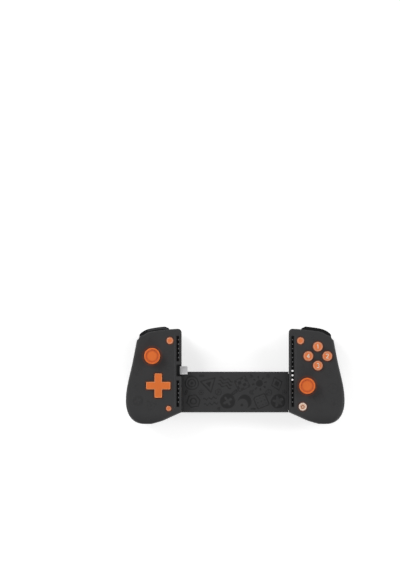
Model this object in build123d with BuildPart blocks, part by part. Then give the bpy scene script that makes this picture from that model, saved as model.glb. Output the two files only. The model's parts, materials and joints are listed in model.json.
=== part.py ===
"""Telescopic game controller that clamps a phone between two grips.

The controller lies on its back: +Z is the normal of the front face, +X points to the
right grip and +Y to the triggers. The origin is the middle of the surface it lies on.
At rest the bridge is closed. Every piece is built on the right hand side first and
mirrored where it belongs to the left grip. Millimetres.
"""

from build123d import *
import os
from math import asin, atan2, cos, exp, radians, sin, sqrt

os.makedirs("parts", exist_ok=True)

# Overall size
half_width = 109.45  # centre line to the outermost point of a palm
grip_top_y = 46.1  # upper edge of a face plate beside the phone
grip_low_y = -49.2  # lowest point of a palm
face_z = 35.0  # front face above the surface the controller lies on
band_height = 8.5  # straight side band between the front face and the parting line
wall = 1.8
face_thickness = 2.0
rim_radius = 2.0
palm_rim_radius = 4.0
palm_rim_share = (0.40, 0.15)  # along a grip, where the rim starts to widen and is widest
overrun = 6.0  # how far cutting tools run past what they cut
edge_search = 0.6  # how near the lip an edge counts as the lip's own

# Plan of a grip
lip_x = 53.65  # edge of the face plate that hangs over the phone
palm_radius = 24.2
palm_corner_reach = 18.9  # width of the palm's fuller outer corner
palm_corner_power = 2.3  # of that corner's superellipse
side_fullness = 0.8  # how far the outer side stands out from a straight line
side_full_y = -7.0
side_full_reach = 11.0
shoulder_x = 98.45  # corner between the trigger edge and the outer side
shoulder_y = 34.56
slant_corner_y = -37.6  # where the slanted lower edge meets the lip
corner_radius = 3.9

# Phone channel and its silicone liner
phone_gap = 110.6  # shortest phone that the closed controller holds
phone_room = 10.0  # between the lip and the liner's flange
liner_flange = 2.0
liner_back_x = 58.4
liner_wall = 1.6
rib_pitch = 4.45
rib_thickness = 1.3
rib_start_y = -0.4
rib_rows = range(-6, 9)  # counted from rib_start_y
rib_top_drop = 2.0  # open depth of the liner's wall between its ribs
liner_low_y = -33.9
liner_top_y = 43.1
channel_wall = 1.5
slot_inner_x = 55.9
slot_outer_x = 58.9
slot_top_y = 39.1
slot_low_y = -32.1
left_slot_break_top_y = 13.5
left_slot_break_low_y = -5.4

# Bridge
bridge_low_y = -37.7
bridge_top_y = 3.1
bridge_back_z = 9.5
bridge_low_radius = 8.0
bridge_top_radius = 5.0
bridge_wall = 1.8
plate_thickness = 1.8
plate_chamfer = 1.1
plate_line_x = 51.7  # fine line across the front plate near each end
plate_line_width = 0.3
plate_line_depth = 0.2
sleeve_free_x = 53.3
sleeve_joint_x = 52.6
sleeve_wave = 5.4
wave_length = 14.0
seam = 0.15
slide_gap = 0.3
spigot_x = -66.0
spigot_gap = 1.0
tray_end_x = -45.0
tray_outer_x = 66.5
tray_wall = 1.5
rail_thickness = 0.8
rail_start_x = -41.0
rail_end_x = 52.5
rail_slot_width = 3.0
rail_slot_margin = 9.0
groove_width = 0.8
groove_depth = 0.4
groove_places_share = (0.81, 0.92)  # across the rail plate
rivet_radius = 1.4
rivet_margin = 6.0  # from a rail plate's edge
rivet_pitch = 55.0
spring_offset = 9.0
spring_outer_radius = 2.1
spring_wire = 0.6
spring_level = 16.2
spring_post_radius = 1.2
spring_post_x = 11.5  # in the closed bridge
spring_hook_x = -48.2
ribbon_width = 10.0
ribbon_thickness = 0.3
ribbon_level = 18.4
ribbon_end_x = 67.2
ribbon_tab = 4.0

# Board and screws
board_drop = 9.5  # front face down to the board's top
board_thickness = 1.2
board_gap = 1.2
board_top_y = 31.1
board_tab_x = 70.0
board_tab_y = 38.5
board_hole_play = 0.1
screw_radius = 1.0
screw_head_radius = 1.9
screw_head_height = 1.4
screw_seat_z = 13.0
screw_boss_radius = 3.4
screw_play = 0.1
screw_tip_reach = 5.0  # length of a screw above the board
head_play = 0.4
front_boss_radius = 2.5
bridge_screw_reach = 2.5

# Buttons
button_play = 0.4
button_travel = 1.2
flange_width = 0.9
flange_thickness = 1.0
button_float = 0.1
button_stem_drop = 6.0
face_button_rise = 2.1
small_button_rise = 1.0
button_edge_radius = 0.6
switch_size = 4.4
membrane_thickness = 0.8
membrane_radius = 6.8
membrane_dome_radius = 3.0

# Direction pad
pad_x = 77.0
pad_y = -10.7
pad_span = 24.3
pad_arm = 7.5
pad_rise = 1.8
pad_gap = 0.5
pad_corner = 1.0
pad_pivot_drop = 3.4
pad_pivot_radius = 1.9
pad_flange_top = 3.0  # front face down to the flange
pad_flange_thickness = 1.4
pad_flange_radius = 12.0
pad_post_radius = 1.3
pad_dome_radius = 2.6
pad_dome_offset = 8.4
pad_tilt_room = 0.9
pad_edge_radius = 0.6

# Thumb sticks
stick_pivot_drop = 8.4
dome_radius = 11.4
dome_thickness = 0.8
dome_play = 0.4
dome_reach = 62.0  # degrees from the stem to the dome's rim
stick_cap_radius = 8.0
stick_cap_rise = 8.0
stick_cap_thickness = 3.4
stick_dish_radius = 6.1
stick_dish_depth = 0.9
stick_neck_radius = 4.2
stick_stem_radius = 1.2
stick_stem_drop = 1.6
stick_cap_socket = 1.6
stick_rim_radius = 0.8
stick_case = 12.4
stick_case_wall = 0.9
stick_case_top = 4.6
stick_case_drop = 5.5
stick_flange = 14.4
stick_flange_thickness = 1.0
ring_half = 3.9
ring_opening = 2.6
ring_half_height = 1.1
arch_radius = 4.4
arch_thickness = 0.6
arch_half_width = 2.3
arch_slot_play = 0.2
hub_radius = 2.2
trunnion_radius = 0.8
hub_pin_radius = 0.6
bearing_play = 0.05

# Bumpers and triggers
shoulder_inner_x = 66.2
bumper_out = 3.2
bumper_in = 3.4
bumper_height = 7.2
bumper_gap = 0.35
end_slope_share = 0.667  # of what a bumper or trigger stands out, lost at its inner end
bumper_arm_low = 1.3
bumper_arm_reach = 3.0
bumper_pin_radius = 1.0
bumper_ear_radius = 2.3
bumper_ear_x = 63.6
bumper_ear_drop = 5.2  # upper edge down to the bumper's pin
trigger_out = 2.4
trigger_wall = 1.8
trigger_height = 13.4
trigger_lip_out = 0.6
trigger_pivot_y = 35.6
trigger_pivot_drop = 13.0
trigger_pin_radius = 1.2
trigger_eye_radius = 2.3
trigger_pin_start_x = 65.0
trigger_pin_end_x = 90.6
trigger_arm_width = 2.0
trigger_arm_gap = 0.6
trigger_lip_height = 2.2
trigger_room = 2.6
trigger_spring_radius = 2.3
trigger_spring_wire = 0.6
trigger_spring_length = 8.0
rib_plate = 1.6

# Plug
plug_y = 4.5
plug_tip_x = 47.7
plug_shell_width = 8.25
plug_shell_height = 2.4
plug_shell_wall = 0.3
plug_drop = 7.5
plug_base_width = 10.0
plug_base_radius = 2.9
plug_hinge_x = 58.4
plug_pin_radius = 1.0
plug_pin_length = 2.4
plug_room = 0.35
plug_shell_depth = 6.6
notch_half = 6.0
ear_thickness = 2.9

# Levels that follow
part_z = face_z - band_height
face_under_z = face_z - face_thickness
liner_seat_z = face_under_z - phone_room - liner_flange
bridge_front_z = face_under_z - phone_room
board_top_z = face_z - board_drop
board_low_z = board_top_z - board_thickness
grip_length = grip_top_y - grip_low_y
grip_width = half_width - lip_x
palm_x = half_width - palm_radius
palm_y = grip_low_y + palm_radius
channel_outer_x = liner_back_x + channel_wall
bridge_mid_y = (bridge_low_y + bridge_top_y) / 2
phone_end_x = phone_gap / 2

# Back of a grip, from the trigger end to the palm's end. Each row has the station along
# the grip's length, then the lowest point and the inner edge as shares of the height.
back_rows_share = (
    (1.045, 0.430, 0.330),
    (1.000, 0.200, 0.270),
    (0.965, 0.063, 0.262),
    (0.925, 0.002, 0.262),
    (0.885, -0.014, 0.262),
    (0.830, 0.036, 0.262),
    (0.742, 0.150, 0.262),
    (0.636, 0.208, 0.262),
    (0.530, 0.150, 0.260),
    (0.414, 0.052, 0.257),
    (0.298, -0.014, 0.257),
    (0.205, 0.024, 0.290),
    (0.125, 0.118, 0.440),
    (0.070, 0.240, 0.545),
    (0.030, 0.375, 0.610),
    (0.001, 0.560, 0.670),
)
low_point_share = 0.58  # lowest point between the lip and the outermost point
curve_side_share = (0.80, 0.36)
curve_low_share = (0.46, 0.085)
curve_inner_share = (0.50, 0.42)
inner_reach = 13.0  # how far the back's curve runs on past the lip

# Run of the bumper and trigger along the upper edge: along the grip's width, and down
# from the top as a share of the grip's length
trigger_run_share = (
    (0.226, 0.0060),
    (0.290, 0.0095),
    (0.387, 0.0158),
    (0.511, 0.0264),
    (0.616, 0.0412),
    (0.704, 0.0697),
    (0.757, 0.0965),
)
top_edge_share = trigger_run_share[:1] + trigger_run_share[2:-1]  # of a face plate
edge_step_share = ((0.7536, 0.0808), (0.7697, 0.1018))  # step beside a bumper's outer end
edge_lean_share = 0.125  # sideways part of a move across the upper edge

# Stick and button places, as measured on the front face
left_stick = (83.1, 18.9)
right_stick = (72.0, -10.9)
cluster_x = 82.6
cluster_y = 18.8
cluster_offset = 9.5
face_button_radius = 4.8
screw_places = ((97.0, 2.6), (92.0, -35.9))
bridge_screw_places = ((63.0, -8.8), (63.0, -25.8))
buttons = (
    ("left_menu_button", -1, 65.4, 34.2, 3.35, small_button_rise),
    ("left_capture_button", -1, 66.6, -33.6, 2.55, small_button_rise),
    ("right_menu_button", 1, 65.3, 34.2, 3.45, small_button_rise),
    ("home_button", 1, 67.5, -31.8, 3.95, small_button_rise),
    ("face_button_top", 1, cluster_x, cluster_y + cluster_offset, face_button_radius, face_button_rise),
    ("face_button_left", 1, cluster_x - cluster_offset, cluster_y, face_button_radius, face_button_rise),
    ("face_button_right", 1, cluster_x + cluster_offset, cluster_y, face_button_radius, face_button_rise),
    ("face_button_bottom", 1, cluster_x, cluster_y - cluster_offset, face_button_radius, face_button_rise),
)
light_x = 57.1
light_rows = (-1, 0, 1)
light_width = 2.3
light_height = 1.8
light_drop = 0.5


def tangent_point(x, y, turn):
    """Point where the line from (x, y) touches the palm circle, on the side of turn."""
    away_x = palm_x - x
    away_y = palm_y - y
    distance = sqrt(away_x**2 + away_y**2)
    angle = atan2(away_y, away_x) + turn * asin(palm_radius / distance)
    length = sqrt(distance**2 - palm_radius**2)
    return x + length * cos(angle), y + length * sin(angle)


side_x, side_y = tangent_point(shoulder_x, shoulder_y, 1)
slant_x, slant_y = tangent_point(lip_x, slant_corner_y, -1)


def outer_x(y):
    """Outer edge of a grip at a place along its length."""
    full = side_fullness * exp(-(((y - side_full_y) / side_full_reach) ** 2))
    if y >= side_y:
        return full + shoulder_x + (side_x - shoulder_x) * (shoulder_y - y) / (shoulder_y - side_y)
    if y >= palm_y:
        return full + palm_x + sqrt(palm_radius**2 - (y - palm_y) ** 2)
    depth_share = ((palm_y - y) / palm_radius) ** palm_corner_power
    reach_share = (1 - depth_share) ** (1 / palm_corner_power)
    return full + half_width - palm_corner_reach * (1 - reach_share)


def inner_x(y):
    """Inner edge of a grip: a straight reach, the slanted lower edge, then the palm circle."""
    if y >= slant_y:
        slanted = lip_x + (slant_x - lip_x) * (slant_corner_y - y) / (slant_corner_y - slant_y)
        return max(slanted, lip_x - inner_reach)
    return palm_x - sqrt(palm_radius**2 - (y - palm_y) ** 2)


def rim_at(station_share):
    """Radius of the rim round the front face at a station along a grip."""
    start_share, full_share = palm_rim_share
    widened_share = min(1, max(0, (start_share - station_share) / (start_share - full_share)))
    return rim_radius + (palm_rim_radius - rim_radius) * widened_share


def section(row_share, inset, top_z, radius):
    """Cross section of a grip at one station, drawn inset from its outside."""
    station_share, low_share, edge_share = row_share
    y = grip_low_y + station_share * grip_length
    right = outer_x(y) - inset
    left = inner_x(y) + inset
    low = low_share * face_z + inset
    edge = edge_share * face_z + inset
    middle = lip_x + low_point_share * grip_width
    half = right - middle
    rise = part_z - low
    back_half = middle - left
    shift = inset if station_share < back_rows_share[-2][0] else 0
    with BuildSketch(Plane((0, y + shift, 0), x_dir=(1, 0, 0), z_dir=(0, -1, 0))) as profile:
        with BuildLine():
            Spline(
                (right, part_z),
                (middle + half * curve_side_share[0], low + rise * curve_side_share[1]),
                (middle + half * curve_low_share[0], low + rise * curve_low_share[1]),
                (middle, low),
                (middle - back_half * curve_inner_share[0], low + (edge - low) * curve_inner_share[1]),
                (left, edge),
                tangents=((0, -1), (-1, 0.12)),
            )
            Line((left, edge), (left, top_z - radius))
            if radius:
                ThreePointArc(
                    (left, top_z - radius),
                    (left + radius * (1 - cos(radians(45))), top_z - radius * (1 - sin(radians(45)))),
                    (left + radius, top_z),
                )
            Line((left + radius, top_z), (right - radius, top_z))
            if radius:
                ThreePointArc(
                    (right - radius, top_z),
                    (right - radius * (1 - cos(radians(45))), top_z - radius * (1 - sin(radians(45)))),
                    (right, top_z - radius),
                )
            Line((right, top_z - radius), (right, part_z))
        make_face()
    return profile.sketch


def edge_point(share, out):
    """Point of the upper edge, moved outward across the edge by a distance."""
    return (lip_x + share[0] * grip_width + out * edge_lean_share, grip_top_y - share[1] * grip_length + out)


def grip_plan(start_x, inset, radius):
    """Plan that trims a grip beside the phone and along the trigger edge."""
    top_y = grip_top_y - inset
    low_y = grip_low_y - overrun
    far_x = half_width + overrun
    step_share = () if inset else edge_step_share
    with BuildSketch() as plan:
        with BuildLine():
            Line((start_x, low_y), (start_x, top_y - radius))
            if radius:
                RadiusArc((start_x, top_y - radius), (start_x + radius, top_y), radius)
            first = edge_point(top_edge_share[0], -inset)
            Line((start_x + radius, top_y), first)
            Spline(
                *[edge_point(share, -inset) for share in top_edge_share + step_share],
                (shoulder_x - inset, shoulder_y - inset / 2),
                tangents=((1, -0.05), (1, -1)),
            )
            Line((shoulder_x - inset, shoulder_y - inset / 2), (far_x, shoulder_y - inset / 2))
            Line((far_x, shoulder_y - inset / 2), (far_x, low_y))
            Line((far_x, low_y), (start_x, low_y))
        make_face()
    return plan.sketch


def prism(sketch, low_z, high_z, mode=Mode.ADD):
    """Raise a plan sketch between two levels."""
    extrude(Plane.XY.offset(low_z) * sketch, amount=high_z - low_z, mode=mode)


def block(x0, x1, y0, y1, z0, z1, mode=Mode.ADD):
    """Box between two corners."""
    with BuildSketch(Plane.XY.offset(z0)) as base:
        with Locations(((x0 + x1) / 2, (y0 + y1) / 2)):
            Rectangle(abs(x1 - x0), abs(y1 - y0))
    extrude(base.sketch, amount=z1 - z0, mode=mode)


def rod(x, y, radius, z0, z1, mode=Mode.ADD):
    """Upright round bar or hole."""
    with BuildSketch(Plane.XY.offset(z0)) as base:
        with Locations((x, y)):
            Circle(radius)
    extrude(base.sketch, amount=z1 - z0, mode=mode)


def bar_x(y, z, radius, x0, x1, mode=Mode.ADD):
    """Round bar or hole along X."""
    with BuildSketch(Plane((x0, y, z), x_dir=(0, 1, 0), z_dir=(1, 0, 0))) as base:
        Circle(radius)
    extrude(base.sketch, amount=x1 - x0, mode=mode)


def bar_y(x, z, radius, y0, y1, mode=Mode.ADD):
    """Round bar or hole along Y."""
    with BuildSketch(Plane((x, y0, z), x_dir=(1, 0, 0), z_dir=(0, 1, 0))) as base:
        Circle(radius)
    extrude(base.sketch, amount=y1 - y0, mode=mode)


def ball(x, y, z, radius, mode=Mode.ADD):
    """Sphere."""
    with Locations((x, y, z)):
        Sphere(radius, mode=mode)


def to_side(sign):
    """Mirror what is built so far to the left hand side if sign is negative."""
    if sign < 0:
        mirror(about=Plane.YZ, mode=Mode.REPLACE)


# Solid forms of a whole grip, outside and inside
with BuildPart() as trim:
    prism(grip_plan(lip_x, 0, corner_radius), -overrun, face_z)
    rim = trim.edges().group_by(Axis.Z)[-1].filter_by(
        lambda edge: edge.center().X < shoulder_x and edge.center().Y > palm_y + overrun
        or abs(edge.center().X - lip_x) < edge_search
    )
    fillet(rim, rim_radius / 2)

with BuildPart() as grip_form:
    for row_share in back_rows_share:
        add(section(row_share, 0, face_z, rim_at(row_share[0])))
    loft()
    add(trim.part, mode=Mode.INTERSECT)
    block(0, half_width + overrun, grip_low_y - overrun, grip_top_y + overrun, -overrun, 0,
          mode=Mode.SUBTRACT)

with BuildPart() as inside_trim:
    prism(grip_plan(lip_x + wall, wall, 0), -overrun, face_z)

with BuildPart() as grip_inside:
    for row_share in back_rows_share:
        add(section(row_share, wall, face_under_z, 0))
    loft()
    add(inside_trim.part, mode=Mode.INTERSECT)
    block(0, channel_outer_x, grip_low_y - overrun, grip_top_y + overrun, liner_seat_z - wall, face_z,
          mode=Mode.SUBTRACT)


def edge_band(inner, outer, start_out, end_out, slope):
    """Plan strip along the trigger edge, between two distances from the edge."""
    start = trigger_run_share[0]
    end = trigger_run_share[-1]
    with BuildSketch() as plan:
        with BuildLine():
            outside = [edge_point(share, outer) for share in trigger_run_share[1:-1]]
            inside = [edge_point(share, inner) for share in trigger_run_share[1:-1]]
            first_out = (edge_point(start, 0)[0] - start_out, edge_point(start, outer - slope)[1])
            first_in = (edge_point(start, 0)[0] - start_out, edge_point(start, inner)[1])
            last_out = (edge_point(end, 0)[0] + end_out, edge_point(end, outer)[1])
            last_in = (edge_point(end, 0)[0] + end_out, edge_point(end, inner)[1])
            Line(first_in, first_out)
            Line(first_out, outside[0])
            Spline(*outside, last_out)
            Line(last_out, last_in)
            Spline(last_in, *reversed(inside))
            Line(inside[0], first_in)
        make_face()
    return plan.sketch


def bridge_profile(inset, high_z):
    """Section of the bridge drawn inset from its outside, open towards the front."""
    low = bridge_low_y + inset
    high = bridge_top_y - inset
    back = bridge_back_z + inset
    low_round = bridge_low_radius - inset
    top_round = bridge_top_radius - inset
    with BuildSketch(Plane.YZ) as profile:
        with BuildLine():
            Line((low, high_z), (low, back + low_round))
            RadiusArc((low, back + low_round), (low + low_round, back), -low_round)
            Line((low + low_round, back), (high - top_round, back))
            RadiusArc((high - top_round, back), (high, back + top_round), -top_round)
            Line((high, back + top_round), (high, high_z))
            Line((high, high_z), (low, high_z))
        make_face()
    return profile.sketch


def along_bridge(sketch, x0, x1, mode=Mode.ADD):
    """Extend a section of the bridge along X."""
    extrude(Plane.YZ.offset(x0) * Plane.YZ.to_local_coords(sketch), amount=x1 - x0, mode=mode)


def wave_region(x_start, x_end):
    """Plan strip between two edges that step sideways across the bridge."""
    low_y = bridge_low_y - overrun
    high_y = bridge_top_y + overrun
    step_low_y = bridge_mid_y - wave_length / 2
    step_high_y = bridge_mid_y + wave_length / 2
    with BuildSketch() as plan:
        with BuildLine():
            Line((x_start, high_y), (x_start, step_high_y))
            Spline(
                (x_start, step_high_y),
                (x_start + sleeve_wave, step_low_y),
                tangents=((0, -1), (0, -1)),
            )
            Line((x_start + sleeve_wave, step_low_y), (x_start + sleeve_wave, low_y))
            Line((x_start + sleeve_wave, low_y), (x_end - sleeve_wave, low_y))
            Line((x_end - sleeve_wave, low_y), (x_end - sleeve_wave, step_low_y))
            Spline(
                (x_end - sleeve_wave, step_low_y),
                (x_end, step_high_y),
                tangents=((0, 1), (0, 1)),
            )
            Line((x_end, step_high_y), (x_end, high_y))
            Line((x_end, high_y), (x_start, high_y))
        make_face()
    return plan.sketch


# Levels inside a grip
bumper_high_z = face_under_z - bumper_gap
bumper_low_z = bumper_high_z - bumper_height
trigger_high_z = bumper_low_z - bumper_gap
trigger_low_z = trigger_high_z - trigger_height
trigger_pivot_z = face_z - trigger_pivot_drop
pocket_low_z = trigger_low_z - trigger_room
bumper_ear_y = grip_top_y - bumper_ear_drop
stick_pivot_z = face_z - stick_pivot_drop
pad_pivot_z = face_z - pad_pivot_drop
plug_z = face_z - plug_drop
tray_inset = bridge_wall + slide_gap
tray_back_z = bridge_back_z + tray_inset
plate_low_z = bridge_front_z - plate_thickness
tray_front_z = plate_low_z - slide_gap
spigot_front_z = liner_seat_z - wall - slide_gap
contact_z = face_z - button_stem_drop - button_travel - button_float

pocket_plan = edge_band(-bumper_in - trigger_room - trigger_wall, bumper_out + overrun, bumper_gap,
                        bumper_gap, 0)


def edge_y(x):
    """Height of the upper edge over a place along the grip's width."""
    share = (x - lip_x) / grip_width
    for (u0, v0), (u1, v1) in zip(trigger_run_share, trigger_run_share[1:]):
        if share <= u1:
            return grip_top_y - (v0 + (v1 - v0) * (share - u0) / (u1 - u0)) * grip_length
    return shoulder_y


def board_plan():
    """Outline of a board: the grip's own outline drawn inset, straight beside the phone."""
    inset = wall + board_gap
    radius = palm_radius - inset
    side_angle = atan2(side_y - palm_y, side_x - palm_x)
    slant_angle = atan2(slant_y - palm_y, slant_x - palm_x)
    start, middle, end = [
        (palm_x + radius * cos(angle), palm_y + radius * sin(angle))
        for angle in (side_angle, (side_angle + slant_angle) / 2, slant_angle)
    ]
    x0 = plug_hinge_x + plug_base_radius + board_gap
    slope = (slant_y - slant_corner_y) / (slant_x - lip_x)
    low = (x0, end[1] + (x0 - end[0]) * slope)
    high = (outer_x(board_top_y) - inset, board_top_y)
    with BuildSketch() as plan:
        with BuildLine():
            Line((x0, board_top_y), high)
            Line(high, start)
            ThreePointArc(start, middle, end)
            Line(end, low)
            Line(low, (x0, board_top_y))
        make_face()
    return plan.sketch


# Hollow grip with its phone channel and trigger pocket, halved at the parting line
with BuildPart() as hollow_grip:
    add(grip_form.part)
    add(grip_inside.part, mode=Mode.SUBTRACT)
    block(0, liner_back_x, grip_low_y - overrun, grip_top_y + overrun, liner_seat_z, face_under_z,
          mode=Mode.SUBTRACT)
    prism(pocket_plan, pocket_low_z, face_under_z, mode=Mode.SUBTRACT)

with BuildPart() as front_half:
    add(hollow_grip.part)
    split(bisect_by=Plane.XY.offset(part_z), keep=Keep.TOP)

with BuildPart() as rear_half:
    add(hollow_grip.part)
    split(bisect_by=Plane.XY.offset(part_z), keep=Keep.BOTTOM)

with BuildPart() as boss_form:
    for x, y in screw_places:
        rod(x, y, screw_boss_radius, 0, board_low_z)
    for x in (trigger_pin_start_x, trigger_pin_end_x - rib_plate):
        block(x, x + rib_plate, trigger_pivot_y - trigger_eye_radius, trigger_pivot_y + trigger_eye_radius,
              0, board_low_z)
    for x, y in bridge_screw_places:
        rod(x, y, front_boss_radius, 0, tray_back_z)
    add(grip_form.part, mode=Mode.INTERSECT)

# Stub of the bridge's back cover that belongs to the left grip
with BuildPart() as collar:
    along_bridge(bridge_profile(0, plate_low_z), -lip_x - wall, 0)
    along_bridge(bridge_profile(bridge_wall, plate_low_z), -lip_x - wall, 0, mode=Mode.SUBTRACT)
    block(-half_width, -lip_x, bridge_low_y - overrun, bridge_top_y + overrun, liner_seat_z,
          bridge_front_z + overrun, mode=Mode.SUBTRACT)
    prism(wave_region(-sleeve_joint_x - seam, sleeve_free_x + overrun), -overrun, face_z,
          mode=Mode.SUBTRACT)

for side, sign in (("left", -1), ("right", 1)):
    stick_x, stick_y = left_stick if sign < 0 else right_stick
    side_buttons = [button for button in buttons if button[1] == sign]

    # Front shell: face plate, side band, phone lip and the bosses behind them
    with BuildPart() as front_shell:
        add(front_half.part)
        for x, y in screw_places:
            rod(x, y, front_boss_radius, board_top_z, face_under_z)
            rod(x, y, screw_radius, board_top_z - overrun, board_top_z + screw_tip_reach + screw_play,
                mode=Mode.SUBTRACT)
        rod(bumper_ear_x, bumper_ear_y, bumper_pin_radius, bumper_low_z, face_under_z)
        for name, hand, x, y, radius, rise in side_buttons:
            rod(x, y, radius + button_play, face_under_z - overrun, face_z + overrun, mode=Mode.SUBTRACT)
        ball(stick_x, stick_y, stick_pivot_z, dome_radius + dome_play, mode=Mode.SUBTRACT)
        if sign < 0:
            arm = pad_arm / 2 + pad_gap
            reach = pad_span / 2 + pad_gap
            block(pad_x - reach, pad_x + reach, pad_y - arm, pad_y + arm, face_under_z - overrun,
                  face_z + overrun, mode=Mode.SUBTRACT)
            block(pad_x - arm, pad_x + arm, pad_y - reach, pad_y + reach, face_under_z - overrun,
                  face_z + overrun, mode=Mode.SUBTRACT)
            for y0, y1 in ((slot_low_y, left_slot_break_low_y), (left_slot_break_top_y, slot_top_y)):
                block(slot_inner_x, slot_outer_x, y0, y1, face_under_z, face_z + overrun,
                      mode=Mode.SUBTRACT)
            block(0, slot_outer_x, plug_y - notch_half, plug_y + notch_half, part_z - overrun,
                  face_z + overrun, mode=Mode.SUBTRACT)
            block(slot_outer_x - overrun, channel_outer_x, plug_y - notch_half, plug_y + notch_half,
                  part_z - overrun, face_under_z, mode=Mode.SUBTRACT)
            for direction in (-1, 1):
                ear = plug_y + direction * notch_half
                block(slot_inner_x, plug_hinge_x + plug_base_radius, ear, ear + direction * ear_thickness,
                      plug_z - plug_base_radius, face_under_z)
            bar_y(plug_hinge_x, plug_z, plug_pin_radius + bearing_play, plug_y - notch_half - ear_thickness,
                  plug_y + notch_half + ear_thickness, mode=Mode.SUBTRACT)
        else:
            block(slot_inner_x, slot_outer_x, slot_low_y, slot_top_y, face_under_z, face_z + overrun,
                  mode=Mode.SUBTRACT)
        to_side(sign)
    front_shell.part.label = f"{side}_front_shell"
    export_step(front_shell.part, f"parts/{side}_front_shell.step")

    # Rear shell: palm, finger hump, liner shelf, screw bosses and trigger pin ribs
    with BuildPart() as rear_shell:
        add(rear_half.part)
        add(boss_form.part)
        for x, y in screw_places:
            rod(x, y, screw_radius + screw_play, -overrun, board_low_z + overrun, mode=Mode.SUBTRACT)
            rod(x, y, screw_head_radius + head_play, -overrun, screw_seat_z, mode=Mode.SUBTRACT)
        bar_x(trigger_pivot_y, trigger_pivot_z, trigger_pin_radius, trigger_pin_start_x, trigger_pin_end_x,
              mode=Mode.SUBTRACT)
        if sign > 0:
            along_bridge(bridge_profile(bridge_wall + slide_gap, liner_seat_z), lip_x - overrun, tray_outer_x,
                         mode=Mode.SUBTRACT)
        else:
            along_bridge(bridge_profile(bridge_wall, spigot_front_z), lip_x - overrun, tray_outer_x,
                         mode=Mode.SUBTRACT)
            block(plug_hinge_x - overrun, plug_hinge_x + plug_base_radius + plug_room,
                  plug_y - notch_half - ear_thickness, plug_y + notch_half + ear_thickness,
                  bridge_front_z, part_z + overrun, mode=Mode.SUBTRACT)
        for x, y in bridge_screw_places:
            rod(x, y, screw_radius, bridge_back_z - bridge_screw_reach, board_low_z, mode=Mode.SUBTRACT)
        to_side(sign)
        if sign < 0:
            add(collar.part)
    rear_shell.part.label = f"{side}_rear_shell"
    export_step(rear_shell.part, f"parts/{side}_rear_shell.step")

    # Silicone liner of the phone channel: flange, wall and the ribs under the slot
    with BuildPart() as liner:
        block(lip_x + slide_gap, liner_back_x, liner_low_y, liner_top_y, liner_seat_z, bridge_front_z)
        block(liner_back_x - liner_wall, liner_back_x, liner_low_y, liner_top_y, bridge_front_z,
              face_under_z - rib_top_drop)
        for row in rib_rows:
            y = rib_start_y + row * rib_pitch
            block(phone_end_x, liner_back_x, y - rib_thickness / 2, y + rib_thickness / 2, bridge_front_z,
                  face_under_z)
        if sign < 0:
            block(0, liner_back_x + overrun, plug_y - notch_half - ear_thickness - seam,
                  plug_y + notch_half + ear_thickness + seam, bridge_front_z, face_z, mode=Mode.SUBTRACT)
        to_side(sign)
    liner.part.label = f"{side}_liner"
    export_step(liner.part, f"parts/{side}_liner.step")

    # Board with its switches, the hole for the stick and the post under the direction pad
    with BuildPart() as main_board:
        prism(board_plan(), board_low_z, board_top_z)
        block(plug_hinge_x + plug_base_radius + board_gap, board_tab_x, board_top_y - overrun, board_tab_y,
              board_low_z, board_top_z)
        for name, hand, x, y, radius, rise in side_buttons:
            if rise == small_button_rise:
                block(x - switch_size / 2, x + switch_size / 2, y - switch_size / 2, y + switch_size / 2,
                      board_top_z, contact_z)
        for x, y in screw_places:
            rod(x, y, screw_radius + screw_play, board_low_z - overrun, face_z, mode=Mode.SUBTRACT)
        hole = stick_case / 2 + board_hole_play
        block(stick_x - hole, stick_x + hole, stick_y - hole, stick_y + hole, board_low_z - overrun,
              board_top_z + overrun, mode=Mode.SUBTRACT)
        if sign < 0:
            rod(pad_x, pad_y, pad_post_radius, board_top_z, pad_pivot_z - pad_pivot_radius / 2)
            ball(pad_x, pad_y, pad_pivot_z, pad_pivot_radius + bearing_play, mode=Mode.SUBTRACT)
        to_side(sign)
    main_board.part.label = f"{side}_main_board"
    export_step(main_board.part, f"parts/{side}_main_board.step")

    # Case of the thumb stick
    with BuildPart() as stick_case_part:
        half = stick_case / 2
        inside = half - stick_case_wall
        foot = stick_flange / 2
        low_z = stick_pivot_z - stick_case_drop
        block(stick_x - half, stick_x + half, stick_y - half, stick_y + half, low_z,
              stick_pivot_z + stick_case_top)
        block(stick_x - foot, stick_x + foot, stick_y - foot, stick_y + foot, board_top_z,
              board_top_z + stick_flange_thickness)
        block(stick_x - inside, stick_x + inside, stick_y - inside, stick_y + inside,
              low_z + stick_case_wall, face_z, mode=Mode.SUBTRACT)
        bar_x(stick_y, stick_pivot_z, trunnion_radius + bearing_play, stick_x - foot, stick_x + foot,
              mode=Mode.SUBTRACT)
        bar_y(stick_x, stick_pivot_z, trunnion_radius + bearing_play, stick_y - foot, stick_y + foot,
              mode=Mode.SUBTRACT)
        to_side(sign)
    stick_case_part.part.label = f"{side}_stick_case"
    export_step(stick_case_part.part, f"parts/{side}_stick_case.step")

    # Ring that tips about X
    with BuildPart() as ring:
        block(stick_x - ring_half, stick_x + ring_half, stick_y - ring_half, stick_y + ring_half,
              stick_pivot_z - ring_half_height, stick_pivot_z + ring_half_height)
        bar_x(stick_y, stick_pivot_z, trunnion_radius, stick_x - half, stick_x + half)
        block(stick_x - ring_opening, stick_x + ring_opening, stick_y - ring_opening,
              stick_y + ring_opening, stick_pivot_z - overrun, stick_pivot_z + overrun,
              mode=Mode.SUBTRACT)
        bar_y(stick_x, stick_pivot_z, hub_pin_radius + bearing_play, stick_y - ring_half, stick_y + ring_half,
              mode=Mode.SUBTRACT)
        to_side(sign)
    ring.part.label = f"{side}_stick_ring"
    export_step(ring.part, f"parts/{side}_stick_ring.step")

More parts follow.
